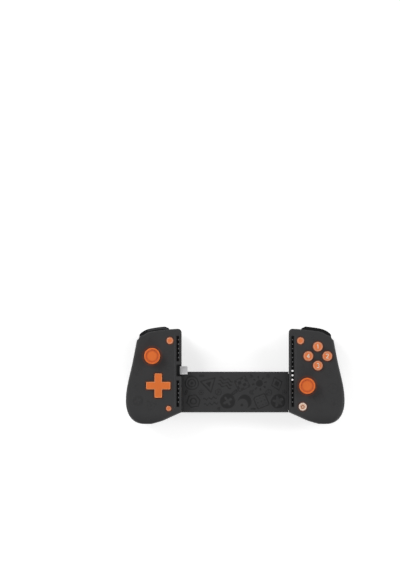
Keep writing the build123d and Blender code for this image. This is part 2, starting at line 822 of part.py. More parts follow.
    # Arch that tips about Y, slotted for the stem
    with BuildPart() as arch:
        arch_outer = arch_radius + arch_thickness
        bar_x(stick_y, stick_pivot_z, arch_outer, stick_x - arch_half_width, stick_x + arch_half_width)
        bar_x(stick_y, stick_pivot_z, arch_radius, stick_x - overrun, stick_x + overrun, mode=Mode.SUBTRACT)
        block(stick_x - overrun, stick_x + overrun, stick_y - overrun, stick_y + overrun,
              stick_pivot_z - overrun, stick_pivot_z, mode=Mode.SUBTRACT)
        for direction in (-1, 1):
            y0, y1 = sorted((stick_y + direction * arch_radius, stick_y + direction * half))
            bar_y(stick_x, stick_pivot_z, trunnion_radius, y0, y1)
        slot = stick_stem_radius + arch_slot_play
        block(stick_x - slot, stick_x + slot, stick_y - ring_opening - arch_thickness,
              stick_y + ring_opening + arch_thickness, stick_pivot_z + hub_radius, face_z,
              mode=Mode.SUBTRACT)
        to_side(sign)
    arch.part.label = f"{side}_stick_arch"
    export_step(arch.part, f"parts/{side}_stick_arch.step")

    # Hub that the stem slides in
    with BuildPart() as hub:
        ball(stick_x, stick_y, stick_pivot_z, hub_radius)
        bar_y(stick_x, stick_pivot_z, hub_pin_radius, stick_y - ring_half, stick_y + ring_half)
        rod(stick_x, stick_y, stick_stem_radius + bearing_play, stick_pivot_z - overrun,
            stick_pivot_z + overrun, mode=Mode.SUBTRACT)
        to_side(sign)
    hub.part.label = f"{side}_stick_hub"
    export_step(hub.part, f"parts/{side}_stick_hub.step")

    cap_high_z = face_z + stick_cap_rise
    cap_low_z = cap_high_z - stick_cap_thickness
    with BuildPart() as stem:
        rod(stick_x, stick_y, stick_stem_radius, stick_pivot_z - stick_stem_drop,
            cap_low_z + stick_cap_socket)
        to_side(sign)
    stem.part.label = f"{side}_stick_stem"
    export_step(stem.part, f"parts/{side}_stick_stem.step")

    # Rubber cap with its neck and the dome that closes the hole in the face plate
    with BuildPart() as cap:
        ball(stick_x, stick_y, stick_pivot_z, dome_radius)
        ball(stick_x, stick_y, stick_pivot_z, dome_radius - dome_thickness, mode=Mode.SUBTRACT)
        block(stick_x - half_width, stick_x + half_width, stick_y - half_width, stick_y + half_width,
              -overrun, stick_pivot_z + dome_radius * cos(radians(dome_reach)), mode=Mode.SUBTRACT)
        rod(stick_x, stick_y, stick_neck_radius, stick_pivot_z + dome_radius - dome_thickness / 2,
            cap_low_z)
        rod(stick_x, stick_y, stick_cap_radius, cap_low_z, cap_high_z)
        fillet(cap.edges().filter_by(GeomType.CIRCLE).group_by(Axis.Z)[-1], stick_rim_radius)
        rod(stick_x, stick_y, stick_dish_radius, cap_high_z - stick_dish_depth, cap_high_z + overrun,
            mode=Mode.SUBTRACT)
        rod(stick_x, stick_y, stick_stem_radius, 0, cap_low_z + stick_cap_socket, mode=Mode.SUBTRACT)
        to_side(sign)
    cap.part.label = f"{side}_stick_cap"
    export_step(cap.part, f"parts/{side}_stick_cap.step")

    # Bumper that swings about an upright pin
    with BuildPart() as bumper:
        prism(edge_band(-bumper_in, bumper_out, 0, 0, bumper_out * end_slope_share), bumper_low_z,
              bumper_high_z)
        rod(bumper_ear_x, bumper_ear_y, bumper_ear_radius, bumper_low_z, bumper_high_z)
        block(bumper_ear_x, shoulder_inner_x + bumper_arm_reach, bumper_ear_y - bumper_arm_low,
              bumper_ear_y + bumper_ear_radius, bumper_low_z, bumper_high_z)
        rod(bumper_ear_x, bumper_ear_y, bumper_pin_radius + bearing_play, 0, face_z, mode=Mode.SUBTRACT)
        to_side(sign)
    bumper.part.label = f"{side}_bumper"
    export_step(bumper.part, f"parts/{side}_bumper.step")

    # Trigger: curved blade with a lip, on two arms that turn on the pin
    inner_arm_x = trigger_pin_start_x + rib_plate + trigger_arm_gap
    outer_arm_x = trigger_pin_end_x - rib_plate - trigger_arm_gap - trigger_arm_width
    with BuildPart() as trigger:
        blade_in = trigger_out - trigger_wall
        lip_out = trigger_out + trigger_lip_out
        prism(edge_band(blade_in, trigger_out, 0, 0, trigger_out * end_slope_share), trigger_low_z,
              trigger_high_z)
        prism(edge_band(blade_in, lip_out, 0, 0, lip_out * end_slope_share), trigger_low_z,
              trigger_low_z + trigger_lip_height)
        for x in (inner_arm_x, outer_arm_x):
            block(x, x + trigger_arm_width, trigger_pivot_y, edge_y(x + trigger_arm_width) + trigger_wall,
                  trigger_pivot_z - trigger_eye_radius, trigger_pivot_z + trigger_eye_radius)
            bar_x(trigger_pivot_y, trigger_pivot_z, trigger_eye_radius, x, x + trigger_arm_width)
        bar_x(trigger_pivot_y, trigger_pivot_z, trigger_pin_radius + bearing_play, 0, half_width,
              mode=Mode.SUBTRACT)
        to_side(sign)
    trigger.part.label = f"{side}_trigger"
    export_step(trigger.part, f"parts/{side}_trigger.step")

    with BuildPart() as trigger_pin:
        bar_x(trigger_pivot_y, trigger_pivot_z, trigger_pin_radius, trigger_pin_start_x, trigger_pin_end_x)
        to_side(sign)
    trigger_pin.part.label = f"{side}_trigger_pin"
    export_step(trigger_pin.part, f"parts/{side}_trigger_pin.step")

    spring_start_x = inner_arm_x + trigger_arm_width + trigger_arm_gap
    with BuildPart() as trigger_spring:
        bar_x(trigger_pivot_y, trigger_pivot_z, trigger_spring_radius, spring_start_x,
              spring_start_x + trigger_spring_length)
        bar_x(trigger_pivot_y, trigger_pivot_z, trigger_spring_radius - trigger_spring_wire,
              spring_start_x, spring_start_x + trigger_spring_length, mode=Mode.SUBTRACT)
        to_side(sign)
    trigger_spring.part.label = f"{side}_trigger_spring"
    export_step(trigger_spring.part, f"parts/{side}_trigger_spring.step")

    # Case screws from the back, and the two screws that hold the bridge to the grip
    bridge_seat_z = bridge_back_z + 2 * bridge_wall if sign < 0 else tray_back_z + tray_wall
    with BuildPart() as case_screws:
        for x, y in screw_places:
            rod(x, y, screw_radius, screw_seat_z, board_top_z + screw_tip_reach)
            rod(x, y, screw_head_radius, screw_seat_z - screw_head_height, screw_seat_z)
        for x, y in bridge_screw_places:
            rod(x, y, screw_radius, bridge_back_z - bridge_screw_reach, bridge_seat_z)
            rod(x, y, screw_head_radius, bridge_seat_z, bridge_seat_z + screw_head_height)
        to_side(sign)
    case_screws.part.label = f"{side}_case_screws"
    export_step(case_screws.part, f"parts/{side}_case_screws.step")

# Round buttons, each with a flange under the face plate and a stem over its contact
for name, sign, x, y, radius, rise in buttons:
    flange_high_z = face_under_z - button_float
    with BuildPart() as button:
        rod(x, y, radius, flange_high_z - flange_thickness, face_z + rise)
        fillet(button.edges().group_by(Axis.Z)[-1], button_edge_radius)
        rod(x, y, radius + flange_width, flange_high_z - flange_thickness, flange_high_z)
        rod(x, y, radius / 2, face_z - button_stem_drop, flange_high_z)
        to_side(sign)
    button.part.label = name
    export_step(button.part, f"parts/{name}.step")

# Rubber membrane under the four face buttons
with BuildPart() as face_membrane:
    for name, sign, x, y, radius, rise in buttons:
        if rise == face_button_rise:
            rod(x, y, membrane_radius, board_top_z, board_top_z + membrane_thickness)
            rod(x, y, membrane_dome_radius, board_top_z, contact_z)
face_membrane.part.label = "face_membrane"
export_step(face_membrane.part, "parts/face_membrane.step")

# Direction pad, its ball and its membrane
pad_flange_z = face_z - pad_flange_top
with BuildPart() as dpad:
    with BuildSketch(Plane.XY.offset(pad_flange_z)) as cross:
        with Locations((pad_x, pad_y)):
            Rectangle(pad_span, pad_arm)
            Rectangle(pad_arm, pad_span)
        fillet(cross.vertices(), pad_corner)
    extrude(amount=face_z + pad_rise - pad_flange_z)
    fillet(dpad.edges().group_by(Axis.Z)[-1], pad_edge_radius)
    rod(pad_x, pad_y, pad_flange_radius, pad_flange_z - pad_flange_thickness, pad_flange_z)
    ball(pad_x, pad_y, pad_pivot_z, pad_pivot_radius + bearing_play, mode=Mode.SUBTRACT)
    to_side(-1)
dpad.part.label = "dpad"
export_step(dpad.part, "parts/dpad.step")

with BuildPart() as dpad_pivot:
    ball(pad_x, pad_y, pad_pivot_z, pad_pivot_radius)
    to_side(-1)
dpad_pivot.part.label = "dpad_pivot"
export_step(dpad_pivot.part, "parts/dpad_pivot.step")

with BuildPart() as dpad_membrane:
    rod(pad_x, pad_y, pad_flange_radius, board_top_z, board_top_z + membrane_thickness)
    for x, y in ((1, 0), (-1, 0), (0, 1), (0, -1)):
        rod(pad_x + x * pad_dome_offset, pad_y + y * pad_dome_offset, pad_dome_radius, board_top_z,
            pad_flange_z - pad_flange_thickness - pad_tilt_room)
    rod(pad_x, pad_y, pad_post_radius + bearing_play, 0, face_z, mode=Mode.SUBTRACT)
    to_side(-1)
dpad_membrane.part.label = "dpad_membrane"
export_step(dpad_membrane.part, "parts/dpad_membrane.step")

# Plug that tips towards the front while a phone is put in
with BuildPart() as plug_base:
    bar_y(plug_hinge_x, plug_z, plug_base_radius, plug_y - plug_base_width / 2, plug_y + plug_base_width / 2)
    block(phone_end_x, plug_hinge_x, plug_y - plug_base_width / 2, plug_y + plug_base_width / 2,
          plug_z - plug_base_radius, plug_z + plug_base_radius)
    bar_y(plug_hinge_x, plug_z, plug_pin_radius, plug_y - plug_base_width / 2 - plug_pin_length,
          plug_y + plug_base_width / 2 + plug_pin_length)
    to_side(-1)
plug_base.part.label = "plug_base"
export_step(plug_base.part, "parts/plug_base.step")

with BuildPart() as plug_shell:
    with BuildSketch(Plane((plug_tip_x, plug_y, plug_z), x_dir=(0, 1, 0), z_dir=(1, 0, 0))):
        SlotOverall(plug_shell_width, plug_shell_height)
    extrude(amount=phone_end_x - plug_tip_x)
    with BuildSketch(Plane((plug_tip_x, plug_y, plug_z), x_dir=(0, 1, 0), z_dir=(1, 0, 0))):
        SlotOverall(plug_shell_width - 2 * plug_shell_wall, plug_shell_height - 2 * plug_shell_wall)
    extrude(amount=plug_shell_depth, mode=Mode.SUBTRACT)
    to_side(-1)
plug_shell.part.label = "plug_shell"
export_step(plug_shell.part, "parts/plug_shell.step")

# Three light windows on the liner's ribs, in the right slot
with BuildPart() as indicator_lights:
    with BuildSketch(Plane.XY.offset(face_under_z)):
        with Locations([(light_x, rib_start_y + row * rib_pitch) for row in light_rows]):
            Ellipse(light_width / 2, light_height / 2)
    extrude(amount=face_thickness - light_drop)
indicator_lights.part.label = "indicator_lights"
export_step(indicator_lights.part, "parts/indicator_lights.step")

# Sleeve: back cover with the spigot that enters the left grip, and the front plate
with BuildPart() as sleeve_rear_cover:
    along_bridge(bridge_profile(0, plate_low_z), -lip_x, lip_x)
    along_bridge(bridge_profile(bridge_wall, plate_low_z), -lip_x - overrun, lip_x + overrun,
                 mode=Mode.SUBTRACT)
    prism(wave_region(-sleeve_joint_x, sleeve_free_x), -overrun, face_z, mode=Mode.INTERSECT)
    along_bridge(bridge_profile(bridge_wall, spigot_front_z), spigot_x, tray_end_x - spigot_gap)
    along_bridge(bridge_profile(2 * bridge_wall, spigot_front_z), spigot_x - overrun, tray_end_x + overrun,
                 mode=Mode.SUBTRACT)
    for side_y in (-spring_offset, spring_offset):
        rod(spring_hook_x, bridge_mid_y + side_y, spring_post_radius, bridge_back_z + bridge_wall,
            ribbon_level)
    for x, y in bridge_screw_places:
        rod(-x, y, screw_radius, 0, spigot_front_z, mode=Mode.SUBTRACT)
sleeve_rear_cover.part.label = "sleeve_rear_cover"
export_step(sleeve_rear_cover.part, "parts/sleeve_rear_cover.step")

with BuildPart() as sleeve_front_plate:
    block(-sleeve_free_x, sleeve_free_x, bridge_low_y, bridge_top_y, plate_low_z, bridge_front_z)
    chamfer(sleeve_front_plate.edges().filter_by(Axis.X).group_by(Axis.Z)[-1], plate_chamfer)
    for x in (-plate_line_x, plate_line_x):
        block(x - plate_line_width / 2, x + plate_line_width / 2, bridge_low_y, bridge_top_y,
              bridge_front_z - plate_line_depth, bridge_front_z, mode=Mode.SUBTRACT)
sleeve_front_plate.part.label = "sleeve_front_plate"
export_step(sleeve_front_plate.part, "parts/sleeve_front_plate.step")

# Tray that slides in the sleeve, with its rail plate, rivets, springs and ribbon
rail_low_y = bridge_low_y + bridge_low_radius
rail_high_y = bridge_top_y - bridge_top_radius
rivet_places = [
    (rail_end_x - rivet_margin - column * rivet_pitch, y)
    for column in (0, 1)
    for y in (rail_low_y + rivet_margin, rail_high_y - rivet_margin)
]
with BuildPart() as slide_tray:
    along_bridge(bridge_profile(tray_inset, tray_front_z), tray_end_x, tray_outer_x)
    along_bridge(bridge_profile(tray_inset + tray_wall, tray_front_z - tray_wall), tray_end_x - overrun,
                 tray_outer_x + overrun, mode=Mode.SUBTRACT)
    block(rail_start_x, rail_end_x, rail_low_y, rail_high_y, 0, tray_back_z + rail_thickness,
          mode=Mode.SUBTRACT)
    for x, y in rivet_places:
        rod(x, y, rivet_radius, 0, tray_back_z + tray_wall, mode=Mode.SUBTRACT)
    for side_y in (-spring_offset, spring_offset):
        rod(spring_post_x, bridge_mid_y + side_y, spring_post_radius, tray_back_z + tray_wall, ribbon_level)
    for x, y in bridge_screw_places:
        rod(x, y, screw_radius, 0, tray_back_z + tray_wall, mode=Mode.SUBTRACT)
        rod(x, y, screw_head_radius + head_play, tray_back_z + tray_wall, tray_front_z, mode=Mode.SUBTRACT)
slide_tray.part.label = "slide_tray"
export_step(slide_tray.part, "parts/slide_tray.step")

with BuildPart() as rail_plate:
    block(rail_start_x, rail_end_x, rail_low_y, rail_high_y, tray_back_z, tray_back_z + rail_thickness)
    block(rail_start_x + rail_slot_margin, rail_end_x - rail_slot_margin, bridge_mid_y - rail_slot_width / 2,
          bridge_mid_y + rail_slot_width / 2, 0, tray_back_z + rail_thickness, mode=Mode.SUBTRACT)
    for share in groove_places_share:
        y = rail_low_y + share * (rail_high_y - rail_low_y)
        block(rail_start_x - overrun, rail_end_x + overrun, y - groove_width / 2, y + groove_width / 2, 0,
              tray_back_z + groove_depth, mode=Mode.SUBTRACT)
    for x, y in rivet_places:
        rod(x, y, rivet_radius, 0, tray_back_z + tray_wall, mode=Mode.SUBTRACT)
rail_plate.part.label = "rail_plate"
export_step(rail_plate.part, "parts/rail_plate.step")

with BuildPart() as rail_rivets:
    for x, y in rivet_places:
        rod(x, y, rivet_radius, tray_back_z, tray_back_z + tray_wall)
rail_rivets.part.label = "rail_rivets"
export_step(rail_rivets.part, "parts/rail_rivets.step")

with BuildPart() as tension_springs:
    for side_y in (-spring_offset, spring_offset):
        y = bridge_mid_y + side_y
        x0 = spring_hook_x + spring_post_radius
        x1 = spring_post_x - spring_post_radius
        bar_x(y, spring_level, spring_outer_radius, x0, x1)
        bar_x(y, spring_level, spring_outer_radius - spring_wire, x0, x1, mode=Mode.SUBTRACT)
tension_springs.part.label = "tension_springs"
export_step(tension_springs.part, "parts/tension_springs.step")

with BuildPart() as flex_ribbon:
    ribbon_low_y = bridge_mid_y - ribbon_width / 2
    ribbon_high_y = bridge_mid_y + ribbon_width / 2
    block(-ribbon_end_x, ribbon_end_x, ribbon_low_y, ribbon_high_y, ribbon_level,
          ribbon_level + ribbon_thickness)
    for x in (-ribbon_end_x, ribbon_end_x - ribbon_thickness):
        block(x, x + ribbon_thickness, ribbon_low_y, ribbon_low_y + ribbon_tab, ribbon_level, board_low_z)
flex_ribbon.part.label = "flex_ribbon"
export_step(flex_ribbon.part, "parts/flex_ribbon.step")
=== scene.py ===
"""Telescopic game controller: finishes, dressed pieces, lights and camera.

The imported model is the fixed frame. +X points to the right grip, +Y to the triggers and
+Z out of the front face. Sizes are written in millimetres and meshes are made in metres.
"""

import json
import logging
import math
from dataclasses import dataclass, field
from enum import Enum
from typing import Optional, Sequence, Union

import bmesh
import bpy
import numpy as np
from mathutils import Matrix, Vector
from mathutils.bvhtree import BVHTree


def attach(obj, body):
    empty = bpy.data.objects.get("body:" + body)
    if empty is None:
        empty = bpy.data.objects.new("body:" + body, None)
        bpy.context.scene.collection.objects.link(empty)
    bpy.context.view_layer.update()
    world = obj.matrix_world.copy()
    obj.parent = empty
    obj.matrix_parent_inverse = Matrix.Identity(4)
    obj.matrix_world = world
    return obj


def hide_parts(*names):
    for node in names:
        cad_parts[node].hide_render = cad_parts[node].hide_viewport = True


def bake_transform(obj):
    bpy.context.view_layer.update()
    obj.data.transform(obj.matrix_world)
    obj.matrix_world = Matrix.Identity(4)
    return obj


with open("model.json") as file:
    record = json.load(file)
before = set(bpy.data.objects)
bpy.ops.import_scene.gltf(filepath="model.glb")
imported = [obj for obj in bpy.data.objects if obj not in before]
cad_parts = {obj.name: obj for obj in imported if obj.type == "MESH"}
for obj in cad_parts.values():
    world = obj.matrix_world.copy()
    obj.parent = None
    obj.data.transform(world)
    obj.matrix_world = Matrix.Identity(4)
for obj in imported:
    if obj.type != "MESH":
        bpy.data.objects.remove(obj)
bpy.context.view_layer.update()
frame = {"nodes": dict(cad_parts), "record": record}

LOG = logging.getLogger("controller")
MM = 0.001
WELD = 0.002
SHARP_EDGE = 40.0
UP = (0.0, 0.0, 1.0)
DOWN = (0.0, 0.0, -1.0)
WHITE = (1.0, 1.0, 1.0, 1.0)
Array = np.ndarray
Shade = tuple[int, int, int]


def linear(shade: Shade) -> tuple[float, float, float, float]:
    """Turn an 8-bit screen colour into the linear colour that a shader takes.

    Args:
        shade: red, green and blue from 0 to 255.

    Returns:
        Linear red, green and blue with a full alpha.
    """
    part = np.array(shade, float) / 255.0
    low = part / 12.92
    high = ((part + 0.055) / 1.055) ** 2.4
    red, green, blue = np.where(part <= 0.04045, low, high)
    return float(red), float(green), float(blue), 1.0


class Value:
    """A socket on its way through a net of nodes, whose operators add Math nodes."""

    def __init__(self, net: "Net", socket: bpy.types.NodeSocket) -> None:
        """Keep the net and the socket that carries the value."""
        self.net = net
        self.socket = socket

    def maths(self, operation: str, first: "Term", second: "Term" = 0.0) -> "Value":
        """Add one Math node.

        Args:
            operation: the node's operation.
            first: its first term.
            second: its second term.

        Returns:
            The node's result.
        """
        return self.net.node("ShaderNodeMath", {"operation": operation}, {0: first, 1: second})

    def __add__(self, other: "Term") -> "Value":
        """Sum."""
        return self.maths("ADD", self, other)

    def __radd__(self, other: "Term") -> "Value":
        """Sum."""
        return self.maths("ADD", other, self)

    def __sub__(self, other: "Term") -> "Value":
        """Difference."""
        return self.maths("SUBTRACT", self, other)

    def __rsub__(self, other: "Term") -> "Value":
        """Difference."""
        return self.maths("SUBTRACT", other, self)

    def __mul__(self, other: "Term") -> "Value":
        """Product."""
        return self.maths("MULTIPLY", self, other)

    def __rmul__(self, other: "Term") -> "Value":
        """Product."""
        return self.maths("MULTIPLY", other, self)

    def __abs__(self) -> "Value":
        """Size without sign."""
        return self.maths("ABSOLUTE", self)

    def sine(self) -> "Value":
        """Sine of the value in radians."""
        return self.maths("SINE", self)

    def ramp(self, start: float, end: float) -> "Value":
        """Smooth step.

        Args:
            start: where the step is still 0.
            end: where it reaches 1.

        Returns:
            The step.
        """
        settings = {"interpolation_type": "SMOOTHSTEP"}
        return self.net.node("ShaderNodeMapRange", settings, {0: self, 1: start, 2: end})


Term = Union[float, Value]


class Net:
    """Net of nodes of one material or world."""

    def __init__(self, owner: Union[bpy.types.Material, bpy.types.World]) -> None:
        """Start an empty net.

        Args:
            owner: the new material or world.
        """
        owner.use_nodes = True
        self.owner = owner
        self.tree = owner.node_tree
        self.tree.nodes.clear()

    def node(self, kind: str, settings: dict, inputs: dict, output: Union[int, str] = 0) -> Value:
        """Add a node of any kind.

        Args:
            kind: the node's type.
            settings: its properties, set first.
            inputs: numbers, colours or Values for its sockets, by index or name.
            output: the socket that is wanted.

        Returns:
            The wanted output.
        """
        made = self.tree.nodes.new(kind)
        for key, setting in settings.items():
            setattr(made, key, setting)
        for key, term in inputs.items():
            if isinstance(term, Value):
                self.tree.links.new(term.socket, made.inputs[key])
            else:
                made.inputs[key].default_value = term
        return Value(self, made.outputs[output])

    def place(self) -> Value:
        """Object coordinates, in metres."""
        return self.node("ShaderNodeTexCoord", {}, {}, "Object")

    def axis(self, place: Value, name: str) -> Value:
        """One coordinate of a place, in millimetres.

        Args:
            place: a vector.
            name: X, Y or Z.

        Returns:
            The coordinate.
        """
        return self.node("ShaderNodeSeparateXYZ", {}, {0: place}, name) * (1.0 / MM)

    def noise(self, place: Value, size: float, detail: float = 2.0, rough: float = 0.55) -> Value:
        """Cloudy noise.

        Args:
            place: where it is read, in metres.
            size: width of its lumps in millimetres.
            detail: number of finer layers.
            rough: strength of each finer layer, as a share of the one before.

        Returns:
            The noise, from 0 to 1.
        """
        inputs = {"Vector": place, "Scale": 1.0 / (size * MM), "Detail": detail, "Roughness": rough}
        return self.node("ShaderNodeTexNoise", {}, inputs)

    def blend(self, factor: Term, first: object, second: object) -> Value:
        """Mix two colours.

        Args:
            factor: share of the second.
            first: a colour or Value.
            second: a colour or Value.

        Returns:
            The mixed colour.
        """
        settings = {"data_type": "RGBA"}
        return self.node("ShaderNodeMix", settings, {0: factor, 6: first, 7: second}, 2)

    def close(self, inputs: dict, bump: Value, height: float) -> None:
        """Join everything to a Principled shader and the output.

        Args:
            inputs: the shader's sockets.
            bump: height field from 0 to 1.
            height: height of the bump in millimetres.
        """
        field_inputs = {"Height": bump, "Distance": height * MM, "Strength": 1.0}
        inputs = dict(inputs, Normal=self.node("ShaderNodeBump", {}, field_inputs))
        self.output(self.node("ShaderNodeBsdfPrincipled", {}, inputs))

    def output(self, shader: Value, kind: str = "ShaderNodeOutputMaterial") -> None:
        """Join a shader to the output.

        Args:
            shader: the shader.
            kind: the output node's type.
        """
        end = self.tree.nodes.new(kind)
        self.tree.links.new(shader.socket, end.inputs["Surface"])


class Texture(Enum):
    """Small-scale texture of a finish."""

    GRAIN = "fine grain"
    BRUSHED = "fine scratches along X"
    # PALM also paints shade on the face plate's rim and lower end.
    PALM = "grain, with fine lines on the palm"
    # painted shade on the chamfered edges along the bridge
    EDGED = "grain, with darker edges along the bridge"


@dataclass(frozen=True)
class Arc:
    """Arc that bounds the lined part of a palm: its centre and radius."""

    x: float
    y: float
    radius: float


@dataclass(frozen=True)
class BridgeSize:
    """Middle and half width of the bridge, and the level of its front."""

    middle: float = -17.3
    half: float = 20.4
    front: float = 23.0


@dataclass(frozen=True)
class ShellShades:
    """Where the shells change their shade, as (start, end) of each step in millimetres.

    The palm has fine lines. Painted shade runs round a face plate's rounded rim and darkens its
    lower end, where the face falls away from the light, and painted shade darkens the bridge's
    chamfered edges. A strength is a share of the darker colour.
    """

    line_arc_edge: float = 0.6
    line_top: tuple[float, float] = (27.5, 26.0)
    line_radians: float = 3.2
    line_swing: float = 0.35
    line_middle: float = 0.5
    line_strength: float = 0.6
    line_grain: float = 0.7
    line_shade: Shade = (74, 74, 76)
    rim_top: tuple[float, float] = (34.5, 33.4)
    rim_foot: tuple[float, float] = (30.4, 31.4)
    rim_strength: float = 0.85
    end_along: tuple[float, float] = (-37.0, -48.5)
    end_strength: float = 0.4
    # colour of the painted shade on the face plate's rim and lower end
    rim_shade: Shade = (17, 17, 18)
    bridge_across: tuple[float, float] = (-1.15, -0.95)
    bridge_level: tuple[float, float] = (22.2, 22.5)
    # colour of the painted shade on the bridge's chamfered edges
    bridge_shade: Shade = (16, 16, 17)


PALM_ARC = Arc(62.0, 24.0, 42.0)
BRIDGE = BridgeSize()
SHADES = ShellShades()


@dataclass(frozen=True)
class Finish:
    """One finish. Colour is as it reads in plain light; second is where a mesh's tone is 1."""

    name: str
    colour: Shade
    second: Optional[Shade] = None
    roughness: float = 0.5
    metallic: float = 0.0
    coat: float = 0.0
    texture: Texture = Texture.GRAIN
    grain_size: float = 0.45
    grain_height: float = 0.012
    mottle: float = 0.06
    mottle_size: float = 14.0
    fleck_sizes: float = 6.0
    fleck_swing: float = 0.12
    coat_roughness: float = 0.15
    scratch_stretch: float = 0.04
    emission: float = 0.0

    def lined(self, net: Net, place: Value) -> Value:
        """Mask of the finely lined part of a palm.

        It is bounded by an arc across the grip: a point is inside where its distance from
        the arc's centre, taken with |x|, is over the arc's radius, and below the side band.

        Args:
            net: the material's net.
            place: object coordinates.

        Returns:
            1 on the lined part.
        """
        across = abs(net.axis(place, "X")) - PALM_ARC.x
        along = net.axis(place, "Y") - PALM_ARC.y
        squared = across * across + along * along
        reach = squared.maths("SQRT", squared)
        inside = reach.ramp(PALM_ARC.radius, PALM_ARC.radius + SHADES.line_arc_edge)
        return inside * net.axis(place, "Z").ramp(*SHADES.line_top)

    def stripes(self, net: Net, place: Value) -> Value:
        """Fine lines round a palm, each at one level: middle + swing * sin(radians * z)."""
        wave = (net.axis(place, "Z") * SHADES.line_radians).sine()
        return wave * SHADES.line_swing + SHADES.line_middle

    def shadowed(self, net: Net, place: Value) -> Value:
        """Mask of the painted shade on a face plate's rounded rim and on its lower end.

        Args:
            net: the material's net.
            place: object coordinates.

        Returns:
            Share of black.
        """
        level, along = net.axis(place, "Z"), net.axis(place, "Y")
        rim = level.ramp(*SHADES.rim_top) * level.ramp(*SHADES.rim_foot) * SHADES.rim_strength
        plate = level.ramp(*SHADES.rim_top[::-1])
        return rim + along.ramp(*SHADES.end_along) * plate * SHADES.end_strength

    def edged(self, net: Net, place: Value) -> Value:
        """Mask of the painted shade on the chamfered edges along the bridge's front.

        Args:
            net: the material's net.
            place: object coordinates.

        Returns:
            1 at the edges.
        """
        inwards = abs(net.axis(place, "Y") - BRIDGE.middle) - BRIDGE.half
        return inwards.ramp(*SHADES.bridge_across) * net.axis(place, "Z").ramp(*SHADES.bridge_level)

    def height(self, net: Net, place: Value) -> Value:
        """Height field of the texture.

        Args:
            net: the material's net.
            place: object coordinates.

        Returns:
            Height from 0 to 1.
        """
        if self.texture is Texture.BRUSHED:
            settings = {"vector_type": "POINT"}
            inputs = {"Vector": place, "Scale": (self.scratch_stretch, 1.0, 1.0)}
            return net.noise(net.node("ShaderNodeMapping", settings, inputs), self.grain_size, 3.0)
        fine = net.noise(place, self.grain_size, 2.0)
        if self.texture is Texture.PALM:
            return fine * SHADES.line_grain + self.stripes(net, place) * self.lined(net, place)
        return fine

    def build(self) -> bpy.types.Material:
        """Make the material.

        Returns:
            The material.
        """
        material = bpy.data.materials.new(self.name)
        net = Net(material)
        place = net.place()
        cloud = net.noise(place, self.mottle_size, 4.0)
        dark, light = [
            linear(tuple(min(255, round(part * (1 + turn * self.mottle))) for part in self.colour))
            for turn in (-1, 1)
        ]
        colour = net.blend(cloud, dark, light)
        if self.second is not None:
            tone = net.node("ShaderNodeAttribute", {"attribute_name": "tone"}, {}, "Fac")
            colour = net.blend(tone, colour, linear(self.second))
        if self.texture is Texture.PALM:
            lines = self.stripes(net, place) * self.lined(net, place) * SHADES.line_strength
            colour = net.blend(lines, colour, linear(SHADES.line_shade))
            # painted shade: the face plate's rim and lower end are darkened in colour
            colour = net.blend(self.shadowed(net, place), colour, linear(SHADES.rim_shade))
        # painted shade on the bridge's chamfered edges
        if self.texture is Texture.EDGED:
            colour = net.blend(self.edged(net, place), colour, linear(SHADES.bridge_shade))
        fleck = net.noise(place, self.grain_size * self.fleck_sizes, 3.0)
        inputs = {
            "Base Color": colour,
            "Roughness": fleck * self.fleck_swing + (self.roughness - self.fleck_swing / 2),
            "Metallic": self.metallic,
            "Coat Weight": self.coat,
            "Coat Roughness": self.coat_roughness,
        }
        if self.emission:
            inputs["Emission Color"] = linear(self.colour)
            inputs["Emission Strength"] = self.emission
        net.close(inputs, self.height(net, place), self.grain_height)
        return material


